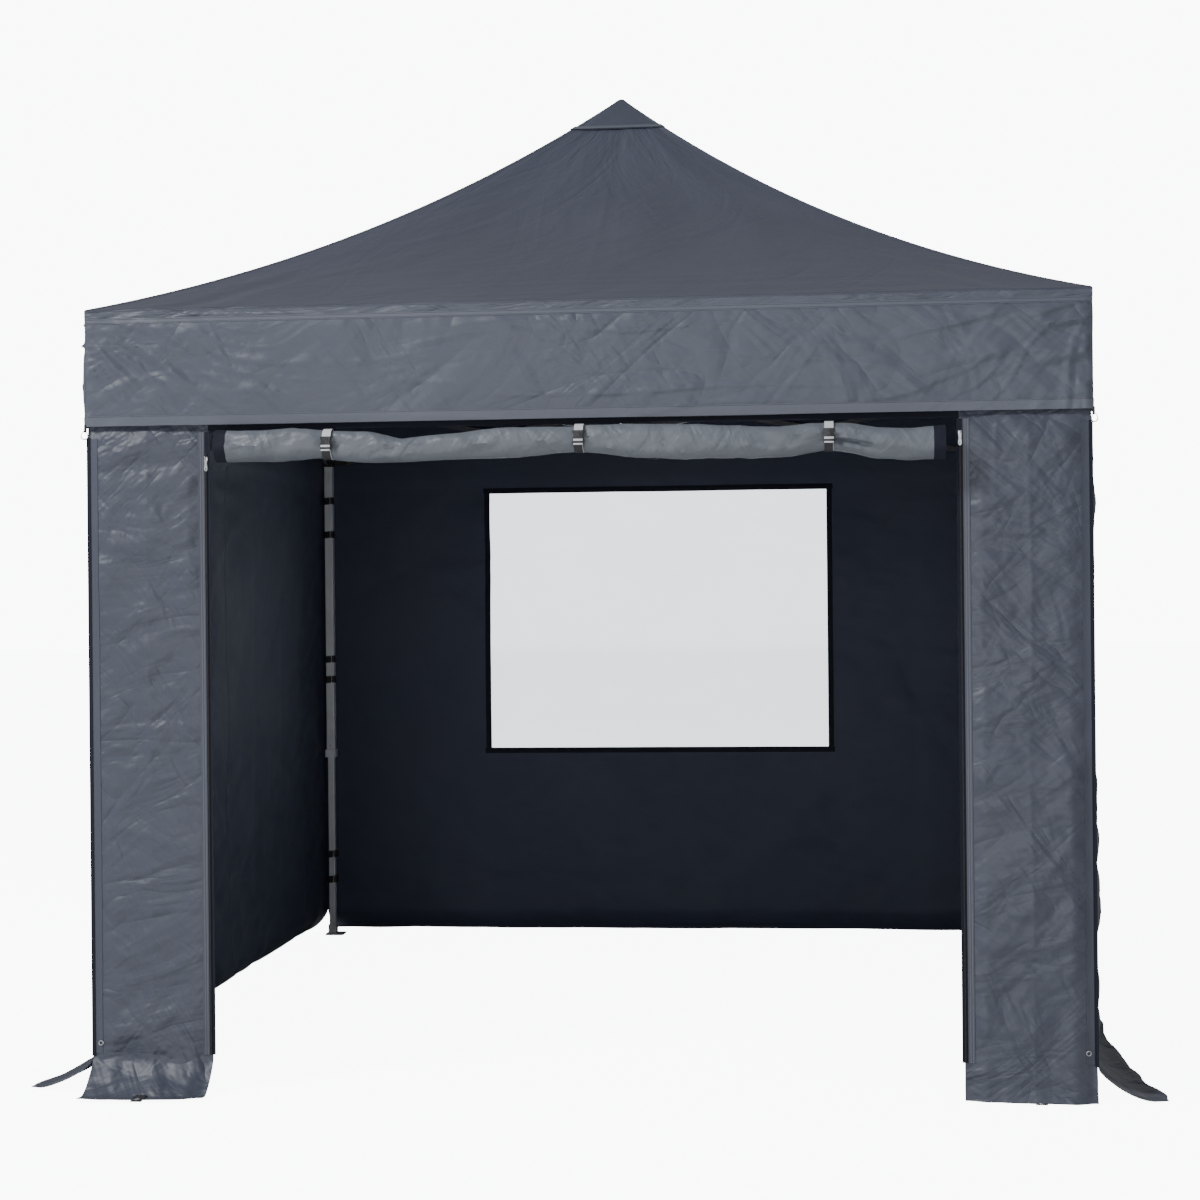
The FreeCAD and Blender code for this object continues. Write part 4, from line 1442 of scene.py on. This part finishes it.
@dataclass
class FrontWall:
    """The front wall's two panels and header, its zips and ground tabs."""

    finishes: Finishes
    left: float = -1.120
    right: float = 1.112
    door_top: float = 1.990
    trim: Tuple[float, float] = (0.112, 1.986)
    tooth_pitch: float = 0.0032
    tooth_foot: float = 0.115
    tooth_count: int = 565

    def frame_wall(self) -> Wall:
        """The wall with its door opening."""
        hole = (self.left, self.right, 0.0, self.door_top)
        skirt = ((-1.5, 0.150, 0.0), (-1.12, 0.112, 0.0), (1.112, 0.004, 0.0), (1.5, 0.022, 0.0))
        creases = (-1.305, 1.312)
        return Wall(
            self.finishes,
            Side.FRONT,
            57,
            columns=230,
            rows=250,
            hole=hole,
            depth=0.0125,
            upright_creases=creases,
            skirt=skirt,
        )

    def teeth(self, name: str, s: float, wall: Wall) -> bpy.types.Object:
        """Builds a zip's row of teeth up the edge of the door opening."""
        tooth = Bench.block(name, (s - 0.0022, -0.0012, 0.0), (s + 0.0022, 0.0012, 0.0015))
        array = tooth.modifiers.new("row", "ARRAY")
        array.use_relative_offset = False
        array.use_constant_offset = True
        array.constant_offset_displace = (0.0, 0.0, self.tooth_pitch)
        array.count = self.tooth_count
        Bench.finish(tooth, "row")
        mesh = tooth.data
        co = np.zeros(len(mesh.vertices) * 3)
        mesh.vertices.foreach_get("co", co)
        co = co.reshape(-1, 3)
        z = co[:, 2] + self.tooth_foot
        centre = np.round((z - self.tooth_foot) / self.tooth_pitch) * self.tooth_pitch + self.tooth_foot
        out = wall.face + wall.relief(np.full_like(z, s), centre) + 0.0034
        moved = np.column_stack([co[:, 0], -out + co[:, 1], z])
        mesh.vertices.foreach_set("co", moved.ravel())
        mesh.update()
        Bench.dress(tooth, self.finishes.black)
        return tooth

    def ground_tab(self, name: str, s: float, wall: Wall) -> List[bpy.types.Object]:
        """Builds the webbing tab with its eyelet at the foot of a panel."""
        reach, height = wall.spread(np.array([s]), np.array([0.165]))
        out = float(wall.face + reach[0])
        level = float(height[0])

        def place(u: np.ndarray, v: np.ndarray) -> np.ndarray:
            x = s + (u - 0.5) * 0.034
            y = -out - 0.030 + v * 0.055
            z = np.maximum(level + 0.0022 - (1.0 - v) * 0.006, 0.0018)
            return np.column_stack([x, y, z])

        tab = ClothSheet(
            name, 8, 10, place, (0.034, 0.055), thick=0.0014, sink=1.0
        ).make(self.finishes.webbing)
        Bench.clear_selection()
        bpy.ops.mesh.primitive_torus_add(
            location=(s, -out - 0.016, level + 0.0012),
            major_radius=0.0075,
            minor_radius=0.0016,
            major_segments=28,
            minor_segments=8,
        )
        ring = bpy.context.object
        ring.name = name + "_eyelet"
        Bench.settle(ring)
        Bench.smooth(ring)
        Bench.dress(ring, self.finishes.bright)
        return [tab, ring]

    def eyelet(self, name: str, s: float, z: float, wall: Wall) -> bpy.types.Object:
        """Builds a pressed metal eyelet in the face of the wall."""
        out = float(wall.face + wall.relief(np.array([s]), np.array([z]))[0]) + 0.0036
        Bench.clear_selection()
        bpy.ops.mesh.primitive_torus_add(
            location=(s, -out, z),
            rotation=(math.pi / 2.0, 0.0, 0.0),
            major_radius=0.0065,
            minor_radius=0.0017,
            major_segments=28,
            minor_segments=8,
        )
        ring = bpy.context.object
        ring.name = name
        Bench.settle(ring)
        Bench.smooth(ring)
        Bench.dress(ring, self.finishes.bright)
        return ring

    def build(self) -> None:
        """Builds and places the front wall."""
        wall = self.frame_wall()
        cloth = wall.build()
        cloth.data.materials.append(self.finishes.binding)
        for face in cloth.data.polygons:
            if self.left < face.center[0] < self.right and face.center[2] > self.door_top - 0.01:
                face.material_index = 2
        trims: List[bpy.types.Object] = []
        for word, jamb, hand in (("left", self.left, -1.0), ("right", self.right, 1.0)):
            near, far = sorted((jamb - hand * 0.005, jamb + hand * 0.015))
            trims.append(
                wall.strip(
                    f"door_zip_tape_{word}", (near, far), self.trim, 0.0013, True, self.finishes.binding
                )
            )
            low_corner, high_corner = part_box(f"zip_puller_{word}")
            trims.append(self.teeth(f"door_zip_teeth_{word}", (low_corner.x + high_corner.x) / 2.0, wall))
            near, far = sorted((jamb + hand * 0.013, jamb + hand * 0.032))
            trims.append(
                wall.strip(
                    f"door_edge_hem_{word}", (near, far), self.trim, 0.0018, True, self.finishes.door_hem
                )
            )
            outer = hand * (wall.half - 0.001)
            near, far = sorted((outer, outer - hand * 0.030))
            trims.append(
                wall.strip(
                    f"front_edge_hem_{word}", (near, far), (0.112, 1.97), 0.0013, True, self.finishes.hem
                )
            )
            near, far = sorted((outer + hand * 0.0045, outer - hand * 0.007))
            trims.append(
                wall.strip(
                    f"front_corner_zip_{word}",
                    (near, far),
                    (0.105, 1.975),
                    0.0027,
                    True,
                    self.finishes.binding,
                )
            )
        tabs = self.ground_tab(
            "ground_tab_left", -1.31, wall
        ) + self.ground_tab("ground_tab_right", 1.33, wall)
        tabs += [
            self.eyelet("corner_eyelet_left", -1.468, 0.145, wall),
            self.eyelet("corner_eyelet_right", 1.468, 0.145, wall),
        ]
        for piece in trims:
            wall.carry(piece)
        for piece in tabs:
            wall.carry(piece, "webbing")
        LOG.info("front wall: cloth, %d trims and %d tab pieces", len(trims), len(tabs))


@dataclass
class DoorRoll:
    """The door rolled into a loose spiral, pinched by three straps with slide buckles."""

    finishes: Finishes
    left: float = -1.080
    right: float = 1.072
    centre_y: float = -1.545
    deep: float = 0.0445
    turns: float = 12.1
    steps_per_turn: int = 19
    door_length: float = 2.03
    core: float = 0.2
    end_band: float = 0.034
    straps: Tuple[float, float, float] = (-0.740, 0.010, 0.738)
    stations: Tuple[float, ...] = (
        -1.08, -0.95, -0.85, -0.79, -0.74, -0.68, -0.60, -0.52, -0.44, -0.36, -0.24, -0.12, -0.05,
        0.01, 0.08, 0.18, 0.28, 0.38, 0.50, 0.60, 0.68, 0.738, 0.80, 0.88, 0.97, 1.072,
    )
    crest: Tuple[float, ...] = (
        1.989, 1.985, 1.993, 1.988, 1.981, 1.981, 1.975, 1.953, 1.961, 1.968, 1.980, 1.982, 1.981,
        1.983, 1.985, 1.985, 1.983, 1.980, 1.973, 1.971, 1.979, 1.978, 1.976, 1.963, 1.958, 1.967,
    )
    belly: Tuple[float, ...] = (
        1.890, 1.888, 1.890, 1.897, 1.895, 1.882, 1.879, 1.880, 1.883, 1.886, 1.889, 1.892, 1.900,
        1.904, 1.897, 1.879, 1.875, 1.878, 1.876, 1.877, 1.887, 1.896, 1.884, 1.866, 1.862, 1.863,
    )
    keep: float = 0.119

    def squeeze(self, x: np.ndarray) -> np.ndarray:
        """How much the straps and sag narrow the roll along its length."""
        pinch = np.zeros_like(x)
        for strap in self.straps:
            pinch += 0.16 * np.exp(
                -(((x - strap) / 0.035) ** 2)
            ) + 0.10 * np.exp(-(((x - strap) / 0.12) ** 2))
        return 1.0 - pinch

    def section(self, x: np.ndarray, angle: np.ndarray, share: np.ndarray) -> Tuple[np.ndarray, np.ndarray]:
        """Position on the roll.

        Args:
            x: distance along the roll.
            angle: angle round it.
            share: 0.2 in the core to 1 on the outside.

        Returns:
            The y and z coordinates.
        """
        crumple = Crumple(73)
        near = np.zeros_like(x)
        for strap in self.straps:
            near += np.exp(-(((x - strap) / 0.17) ** 2))
        tight = np.zeros_like(x)
        for strap in self.straps:
            tight += np.exp(-np.abs(x - strap) / 0.06)
        up = np.sin(angle)
        front = np.cos(angle)
        face = np.clip(1.25 - np.abs(up), 0.0, 1.0)
        wave = 0.06 * crumple.noise(x * 3.0 + 0.8 * up, up * 1.1 + front * 0.6)
        slant = 0.30 * crumple.ridge(x * 6.0 + 2.4 * up, 1.9 * front + x * 1.3 + up, 2) * (0.45 + 0.55 * near)
        facet = 0.30 * np.abs(crumple.noise(x * 9.0 + 2.2 * up, 3.0 * up - 1.4 * front, 3))
        small = 0.13 * np.abs(crumple.noise(x * 21.0 - 2.8 * up, 6.0 * up + 2.0 * front, 5))
        pleat = 0.22 * tight * np.abs(crumple.noise(x * 3.0, 5.2 * up + 3.1 * front, 4))
        size = share * (1.04 + face * (wave - slant - facet - pleat - small))
        size = np.minimum(size, 1.0)
        y = self.centre_y + self.deep * self.squeeze(x) * size * front
        z = self.middle(x) + self.half_height(x) * size * up
        return y, z

    def half_height(self, x: np.ndarray) -> np.ndarray:
        """Half the roll's height at a place along it."""
        return (np.interp(x, self.stations, self.crest) - np.interp(x, self.stations, self.belly)) / 2.0

    def middle(self, x: np.ndarray) -> np.ndarray:
        """Height of the roll's middle line, which sags between the straps."""
        return (np.interp(x, self.stations, self.crest) + np.interp(x, self.stations, self.belly)) / 2.0

    def roll(self) -> bpy.types.Object:
        """Builds the rolled sheet with its dark zip tape at both ends."""
        rounds = int(self.turns * self.steps_per_turn)

        def place(u: np.ndarray, v: np.ndarray) -> np.ndarray:
            x = self.left + (self.right - self.left) * u
            angle = 2.0 * math.pi * self.turns * v + 0.6
            share = self.core + (1.0 - self.core) * v
            y, z = self.section(x, angle, share)
            return np.column_stack([x, y, z])

        sheet = ClothSheet(
            "door_roll_cloth",
            190,
            rounds,
            lambda u, v: place(1.0 - u, v),
            (self.right - self.left, self.door_length),
            thick=0.0009,
            sink=1.0,
        )
        piece = sheet.make(self.finishes.door)
        Bench.dress(piece, self.finishes.door, self.finishes.door, self.finishes.binding)
        for face in piece.data.polygons:
            x = face.center[0]
            if x < self.left + self.end_band or x > self.right - self.end_band:
                face.material_index = 2
        return piece

    def loop(
        self,
        name: str,
        x: float,
        from_turn: float,
        to_turn: float,
        width: float,
        proud: float,
        finish: bpy.types.Material,
    ) -> bpy.types.Object:
        """Builds a length of webbing round the roll between two angles given in turns."""

        def place(u: np.ndarray, v: np.ndarray) -> np.ndarray:
            angle = 2.0 * math.pi * (from_turn + (to_turn - from_turn) * u)
            centre = np.full_like(u, x)
            size = float(self.squeeze(np.array([x]))[0])
            y = self.centre_y + (self.deep * size + proud) * np.cos(angle)
            z = self.level(x) + (float(self.half_height(np.array([x]))[0]) + proud) * np.sin(angle)
            return np.column_stack([centre + (v - 0.5) * width, y, z])

        length = abs(to_turn - from_turn) * 0.26
        sheet = ClothSheet(name, 60, 4, place, (length, width), thick=0.0013, sink=0.0)
        return sheet.make(finish)

    def level(self, x: float) -> float:
        """Height of a strap's middle."""
        return float(self.middle(np.array([x]))[0])

    def buckle(self, name: str, x: float) -> List[bpy.types.Object]:
        """Builds the side-release buckle and the pale webbing threaded over its lower bar, whose pale tone is
        partly painted reflection.

        Args:
            name: the buckle's name.
            x: the strap's place along the roll.

        Returns:
            The buckle and the threaded webbing.
        """
        size = float(self.squeeze(np.array([x]))[0])
        front = self.centre_y - self.deep * size - 0.0066
        mid = self.level(x) + 0.004
        body = Bench.block(
            name, (x - 0.0165, front - 0.0035, mid - 0.0235), (x + 0.0165, front + 0.0035, mid + 0.0165)
        )
        Bench.pick(body)
        bpy.ops.object.mode_set(mode="EDIT")
        bpy.ops.mesh.select_all(action="SELECT")
        bpy.ops.mesh.subdivide(number_cuts=9)
        bpy.ops.object.mode_set(mode="OBJECT")
        for vertex in body.data.vertices:
            rise = (vertex.co.z - mid) / 0.02
            waist = 1.0 - 0.20 * math.exp(-(((rise - 0.15) / 0.32) ** 2))
            bulge = 1.0 - 0.45 * ((vertex.co.x - x) / 0.0165) ** 2
            vertex.co.x = x + (vertex.co.x - x) * waist
            vertex.co.y = front + (vertex.co.y - front) * bulge
        Bench.round_edges(body, 0.0006, 1)
        parts = [body]
        for word, low, high in (("bar", -0.0150, -0.0085), ("foot", -0.0262, -0.0215)):
            part = Bench.block(
                f"{name}_{word}",
                (x - 0.0140, front - 0.0052, mid + low),
                (x + 0.0140, front - 0.0020, mid + high),
            )
            Bench.round_edges(part, 0.0011, 2)
            Bench.dress(part, self.finishes.pale_webbing_and_painted_sheen)
            parts.append(part)
        prong = Bench.block(
            f"{name}_prong",
            (x - 0.0070, front - 0.0048, mid - 0.004),
            (x + 0.0070, front - 0.0030, mid + 0.011),
        )
        Bench.round_edges(prong, 0.0008, 2)
        parts.append(prong)
        for part in (body, prong):
            Bench.dress(part, self.finishes.black)
        for part in parts:
            Bench.smooth(part)
        return parts

    def build(self) -> None:
        """Builds the roll, its straps and its buckles."""
        roll = self.roll()
        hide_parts("door_roll")
        extras: List[bpy.types.Object] = []
        for index, x in enumerate(self.straps):
            # The strap loop's pale tone is partly painted reflection on the top of the roll.
            band = self.loop(
                f"door_strap_{index + 1}", x, 0.02, 0.98, 0.026, 0.0022, self.finishes.pale_webbing_and_painted_sheen
            )
            tail = self.loop(
                f"door_strap_tail_{index + 1}", x - 0.001, 0.56, 0.72, 0.025, 0.0044, self.finishes.webbing
            )
            if index == 0:
                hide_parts("door_straps")
            extras += [band, tail] + self.buckle(f"door_buckle_{index + 1}", x)
        for piece in extras:
            hang(piece, "front_side", "webbing", Side.FRONT, self.keep)
        hang(roll, "front_side", "wall_fabric", Side.FRONT, self.keep)
        area = sum(face.area for face in roll.data.polygons) / 2.0
        LOG.info(
            "door roll: %.3f m of cloth in the spiral, %.3f m cut",
            area / (self.right - self.left),
            self.door_length,
        )


@dataclass
class ZipPuller:
    """A zip slider with a long pull tab that has a hole near its end."""

    finishes: Finishes
    hand: str
    keep: float = 0.119

    def build(self) -> None:
        """Builds the puller in place of its plain solid."""
        node = f"zip_puller_{self.hand}"
        low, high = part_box(node)
        x = (low.x + high.x) / 2.0
        front = low.y
        back = high.y
        body = Bench.block(
            f"{node}_body", (x - 0.0055, front + 0.0008, high.z - 0.013), (x + 0.0055, back, high.z)
        )
        Bench.round_edges(body, 0.0012, 3)
        tab = self.tab(f"{node}_tab", x, front, low.z, high.z - 0.008)
        ring = self.bail(f"{node}_bail", x, front, high.z - 0.006)
        piece = Bench.join(f"{node}_shape", [body, tab, ring])
        Bench.smooth(piece)
        Bench.dress(piece, self.finishes.bright)
        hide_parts(node)
        hang(piece, node, "zip_metal", Side.FRONT, self.keep)
        LOG.info("zip puller %s", self.hand)

    def tab(self, name: str, x: float, front: float, low: float, high: float) -> bpy.types.Object:
        """Builds the pull tab: a waisted plate with a round hole near its foot."""
        piece = Bench.block(name, (x - 0.0052, front + 0.0004, low), (x + 0.0052, front + 0.0019, high))
        Bench.pick(piece)
        bpy.ops.object.mode_set(mode="EDIT")
        bpy.ops.mesh.select_all(action="SELECT")
        bpy.ops.mesh.subdivide(number_cuts=7)
        bpy.ops.object.mode_set(mode="OBJECT")
        tall = high - low
        for vertex in piece.data.vertices:
            share = (vertex.co.z - low) / tall
            waist = 1.0 - 0.34 * math.exp(-(((share - 0.62) / 0.2) ** 2))
            tip = min(
                1.0,
                math.sqrt(
                    max(0.0, 1.0 - ((abs(share - 0.5) - 0.36) / 0.15) ** 2)
                ) if abs(share - 0.5) > 0.36 else 1.0,
            )
            vertex.co.x = x + (vertex.co.x - x) * waist * max(tip, 0.25)
        Bench.clear_selection()
        bpy.ops.mesh.primitive_cylinder_add(
            vertices=24,
            radius=0.0021,
            depth=0.02,
            location=(x, front, low + 0.0065),
            rotation=(math.pi / 2.0, 0.0, 0.0),
        )
        drill = bpy.context.object
        cut = piece.modifiers.new("hole", "BOOLEAN")
        cut.object = drill
        cut.operation = "DIFFERENCE"
        Bench.finish(piece, "hole")
        bpy.data.objects.remove(drill)
        return piece

    def bail(self, name: str, x: float, front: float, z: float) -> bpy.types.Object:
        """Builds the small wire loop that the tab hangs from."""
        Bench.clear_selection()
        bpy.ops.mesh.primitive_torus_add(
            location=(x, front + 0.0018, z),
            rotation=(0.0, math.pi / 2.0, 0.0),
            major_radius=0.0032,
            minor_radius=0.0007,
            major_segments=20,
            minor_segments=8,
        )
        piece = bpy.context.object
        piece.name = name
        Bench.settle(piece)
        return piece


# ---------------------------------------------------------------- small fittings


@dataclass
class PoleLoops:
    """Hook-and-loop straps that hold the walls to a pole."""

    finishes: Finishes
    pole: float = 1.464
    heights: Tuple[float, ...] = (1.93, 1.78, 1.225, 1.135, 0.357, 0.245)
    split: float = 0.8

    def ring(self, name: str, quarter: int, z: float) -> bpy.types.Object:
        """Builds one loose webbing loop round a pole, with its overlapping tail."""
        half = 0.0206 if z > self.split else 0.0225

        def place(u: np.ndarray, v: np.ndarray) -> np.ndarray:
            angle = 2.0 * math.pi * 0.985 * u + 0.4
            power = 5.0
            c = np.cos(angle)
            s = np.sin(angle)
            radius = half / (np.abs(c) ** power + np.abs(s) ** power) ** (1.0 / power)
            radius = radius + 0.0010 * Crumple(int(z * 100) + quarter).noise(u * 9.0, v * 2.0) + 0.0012 * u
            x = -self.pole + radius * c
            y = -self.pole + radius * s
            height = z + (v - 0.5) * 0.030 + 0.0012 * np.sin(angle * 2.0)
            return np.column_stack([x, y, height])

        sheet = ClothSheet(name, 56, 4, place, (0.15, 0.030), thick=0.0015, sink=-1.0)
        return sheet.make(self.finishes.webbing)

    def build(self) -> None:
        """Builds six loops on each pole."""
        for quarter, corner in enumerate(CORNERS):
            for index, z in enumerate(self.heights):
                piece = self.ring(f"pole_loop_{corner}_{index + 1}", quarter, z)
                piece.data.transform(Matrix.Rotation(math.pi / 2.0 * quarter, 4, "Z"))
                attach(piece, f"pole_{corner}" if z > self.split else f"inner_pole_{corner}")
        LOG.info("pole loops: %d on each pole", len(self.heights))


@dataclass
class CornerRings:
    """Triangular metal rings on webbing at the lower corners of the valance."""

    finishes: Finishes
    half: float = 1.503
    z: float = 1.992

    def ring(self, corner: str, quarter: int) -> List[bpy.types.Object]:
        """Builds one ring and its webbing tab."""
        Bench.clear_selection()
        bpy.ops.mesh.primitive_torus_add(
            location=(0.0, 0.0, 0.0),
            rotation=(math.pi / 2.0, 0.0, math.radians(45.0)),
            major_radius=0.0125,
            minor_radius=0.0017,
            major_segments=36,
            minor_segments=10,
        )
        ring = bpy.context.object
        ring.name = f"corner_ring_{corner}"
        Bench.settle(ring)
        for vertex in ring.data.vertices:
            drop = (vertex.co.z + 0.015) / 0.03
            narrow = 0.45 + 0.75 * (1.0 - drop)
            vertex.co.x *= narrow
            vertex.co.y *= narrow
        ring.data.transform(
            Matrix.Translation(Vector((-self.half + 0.001, -self.half + 0.001, self.z - 0.010)))
        )
        tab = Bench.block(
            f"corner_ring_tab_{corner}",
            (-self.half - 0.0006, -self.half - 0.0006, self.z - 0.002),
            (-self.half + 0.007, -self.half + 0.007, self.z + 0.022),
        )
        Bench.round_edges(tab, 0.002, 3)
        for piece in (ring, tab):
            Bench.smooth(piece)
            piece.data.transform(Matrix.Rotation(math.pi / 2.0 * quarter, 4, "Z"))
        Bench.dress(ring, self.finishes.bright)
        Bench.dress(tab, self.finishes.webbing)
        return [ring, tab]

    def build(self) -> None:
        """Builds all four rings."""
        for quarter, corner in enumerate(CORNERS):
            for piece in self.ring(corner, quarter):
                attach(piece, f"pole_{corner}")
        LOG.info("corner rings: %d", len(CORNERS))


@dataclass
class FrameFinish:
    """Gives the metal and plastic frame parts their finishes."""

    finishes: Finishes

    def pick(self, node: str) -> Optional[bpy.types.Material]:
        """The finish for a frame part, or None for cloth."""
        if node.startswith(("outer_pole", "inner_pole")) or node == "mast":
            return self.finishes.pole
        # Bars and arms take the near-black finish that is painted shade.
        if node.endswith(("_bar", "_arm")):
            return self.finishes.bar
        if node.startswith("slider") or node.endswith("bracket") or node == "centre_hub":
            return self.finishes.black
        if node.startswith(("snap_button", "zip_puller")):
            return self.finishes.bright
        return None

    def build(self) -> None:
        """Dresses every frame part."""
        for name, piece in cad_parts.items():
            finish = self.pick(name)
            if finish is None:
                continue
            for slot in piece.material_slots:
                slot.material = finish
            if not piece.material_slots:
                piece.data.materials.append(finish)
        LOG.info("frame parts dressed")


# ---------------------------------------------------------------- studio


@dataclass
class Studio:
    """Pale floor, soft light and the camera."""

    lens: float = 61.32
    eye: Tuple[float, float, float] = (0.6946, -7.5047, 1.4512)
    yaw: float = 5.37
    pitch: float = 0.03
    roll: float = -0.5545
    shift: Tuple[float, float] = (-0.0195, 0.0038)
    room_light: float = 0.27
    backdrop: float = 10.0
    film_view: float = 2.6
    floor_share: float = 0.92
    floor_film_share: float = 0.8

    def camera(self) -> None:
        """Places the camera at eye height in front of the tent."""
        data = bpy.data.cameras.new("view")
        data.lens = self.lens
        data.sensor_width = 36.0
        data.shift_x, data.shift_y = self.shift
        data.clip_end = 200.0
        camera = bpy.data.objects.new("view", data)
        bpy.context.scene.collection.objects.link(camera)
        yaw, pitch, roll = (math.radians(a) for a in (self.yaw, self.pitch, self.roll))
        forward = Vector((-math.sin(yaw) * math.cos(pitch), math.cos(yaw) * math.cos(pitch), math.sin(pitch)))
        right = Vector((math.cos(yaw), math.sin(yaw), 0.0))
        up = right.cross(forward)
        across = right * math.cos(roll) + up * math.sin(roll)
        above = up * math.cos(roll) - right * math.sin(roll)
        turn = Matrix((across, above, -forward)).transposed().to_4x4()
        camera.matrix_world = Matrix.Translation(Vector(self.eye)) @ turn
        bpy.context.scene.camera = camera

    def light(self) -> None:
        """Adds the soft surrounding light and three large soft lamps."""
        world = bpy.data.worlds.new("soft_room")
        world.use_nodes = True
        back = world.node_tree.nodes["Background"]
        back.inputs["Color"].default_value = (0.97, 0.985, 1.0, 1.0)
        strength = self.seen_strength(world.node_tree, self.room_light, self.backdrop, self.film_view)
        world.node_tree.links.new(strength, back.inputs["Strength"])
        bpy.context.scene.world = world
        for name, place, size, power in (
            ("key_lamp", (-9.5, -8.0, 11.5), 2.6, 2300.0),
            ("side_lamp", (7.5, -6.5, 6.0), 3.0, 60.0),
            ("front_lamp", (-0.6, -10.5, 1.9), 3.0, 200.0),
        ):
            data = bpy.data.lights.new(name, "AREA")
            data.energy = power
            data.size = size
            lamp = bpy.data.objects.new(name, data)
            bpy.context.scene.collection.objects.link(lamp)
            lamp.location = place
            lamp.rotation_euler = (
                Vector((0.0, 0.0, 1.4)) - Vector(place)
            ).to_track_quat("-Z", "Y").to_euler()

    def seen_strength(
        self, tree: bpy.types.NodeTree, lit: float, seen: float, film: float
    ) -> bpy.types.NodeSocket:
        """Gives separate strengths to what lights the tent and to what is seen.

        Args:
            tree: the node tree to add to.
            lit: strength that lights the tent.
            seen: strength that is seen directly.
            film: strength that is seen through the window film.

        Returns:
            The socket that holds the strength.
        """
        path = tree.nodes.new("ShaderNodeLightPath")
        total: Optional[bpy.types.NodeSocket] = None
        for output, strength in (("Is Camera Ray", seen), ("Is Transmission Ray", film)):
            step = tree.nodes.new("ShaderNodeMath")
            step.operation = "MULTIPLY_ADD"
            step.inputs[1].default_value = strength - lit
            step.inputs[2].default_value = lit
            if total is not None:
                tree.links.new(total, step.inputs[2])
            tree.links.new(path.outputs[output], step.inputs[0])
            total = step.outputs[0]
        return total

    def floor(self) -> None:
        """Adds the pale floor."""
        Bench.clear_selection()
        bpy.ops.mesh.primitive_plane_add(size=120.0, location=(0.0, 0.0, -0.001))
        plane = bpy.context.object
        plane.name = "studio_floor"
        material, tree, shader = start_material("pale_floor")
        where = tree.nodes.new("ShaderNodeTexCoord").outputs["Object"]
        tone = place_group(
            tree,
            ShaderGroups.mottle(),
            Base=(0.93, 0.93, 0.93, 1.0),
            Other=(0.95, 0.95, 0.95, 1.0),
            Scale=0.4,
        )
        tree.links.new(where, tone.inputs["Vector"])
        tree.links.new(tone.outputs["Colour"], shader.inputs["Base Color"])
        shader.inputs["Roughness"].default_value = 0.9
        shader.inputs["Emission Color"].default_value = (0.97, 0.985, 1.0, 1.0)
        tree.links.new(
            self.seen_strength(
                tree, 0.0, self.backdrop * self.floor_share, self.film_view * self.floor_film_share
            ),
            shader.inputs["Emission Strength"],
        )
        plane.data.materials.append(material)

    def build(self) -> None:
        """Builds the studio."""
        self.camera()
        self.light()
        self.floor()


def main() -> None:
    """Builds the tent, piece by piece."""
    Studio().build()
    finishes = Finishes()
    FrameFinish(finishes).build()
    Roof(finishes).build()
    Valance(finishes).build()
    PlainWalls(finishes).build()
    WindowWall(finishes).build()
    FrontWall(finishes).build()
    DoorRoll(finishes).build()
    for hand in ("left", "right"):
        ZipPuller(finishes, hand).build()
    PoleLoops(finishes).build()
    CornerRings(finishes).build()
    LOG.info("all pieces built")


if __name__ == "__main__":
    main()
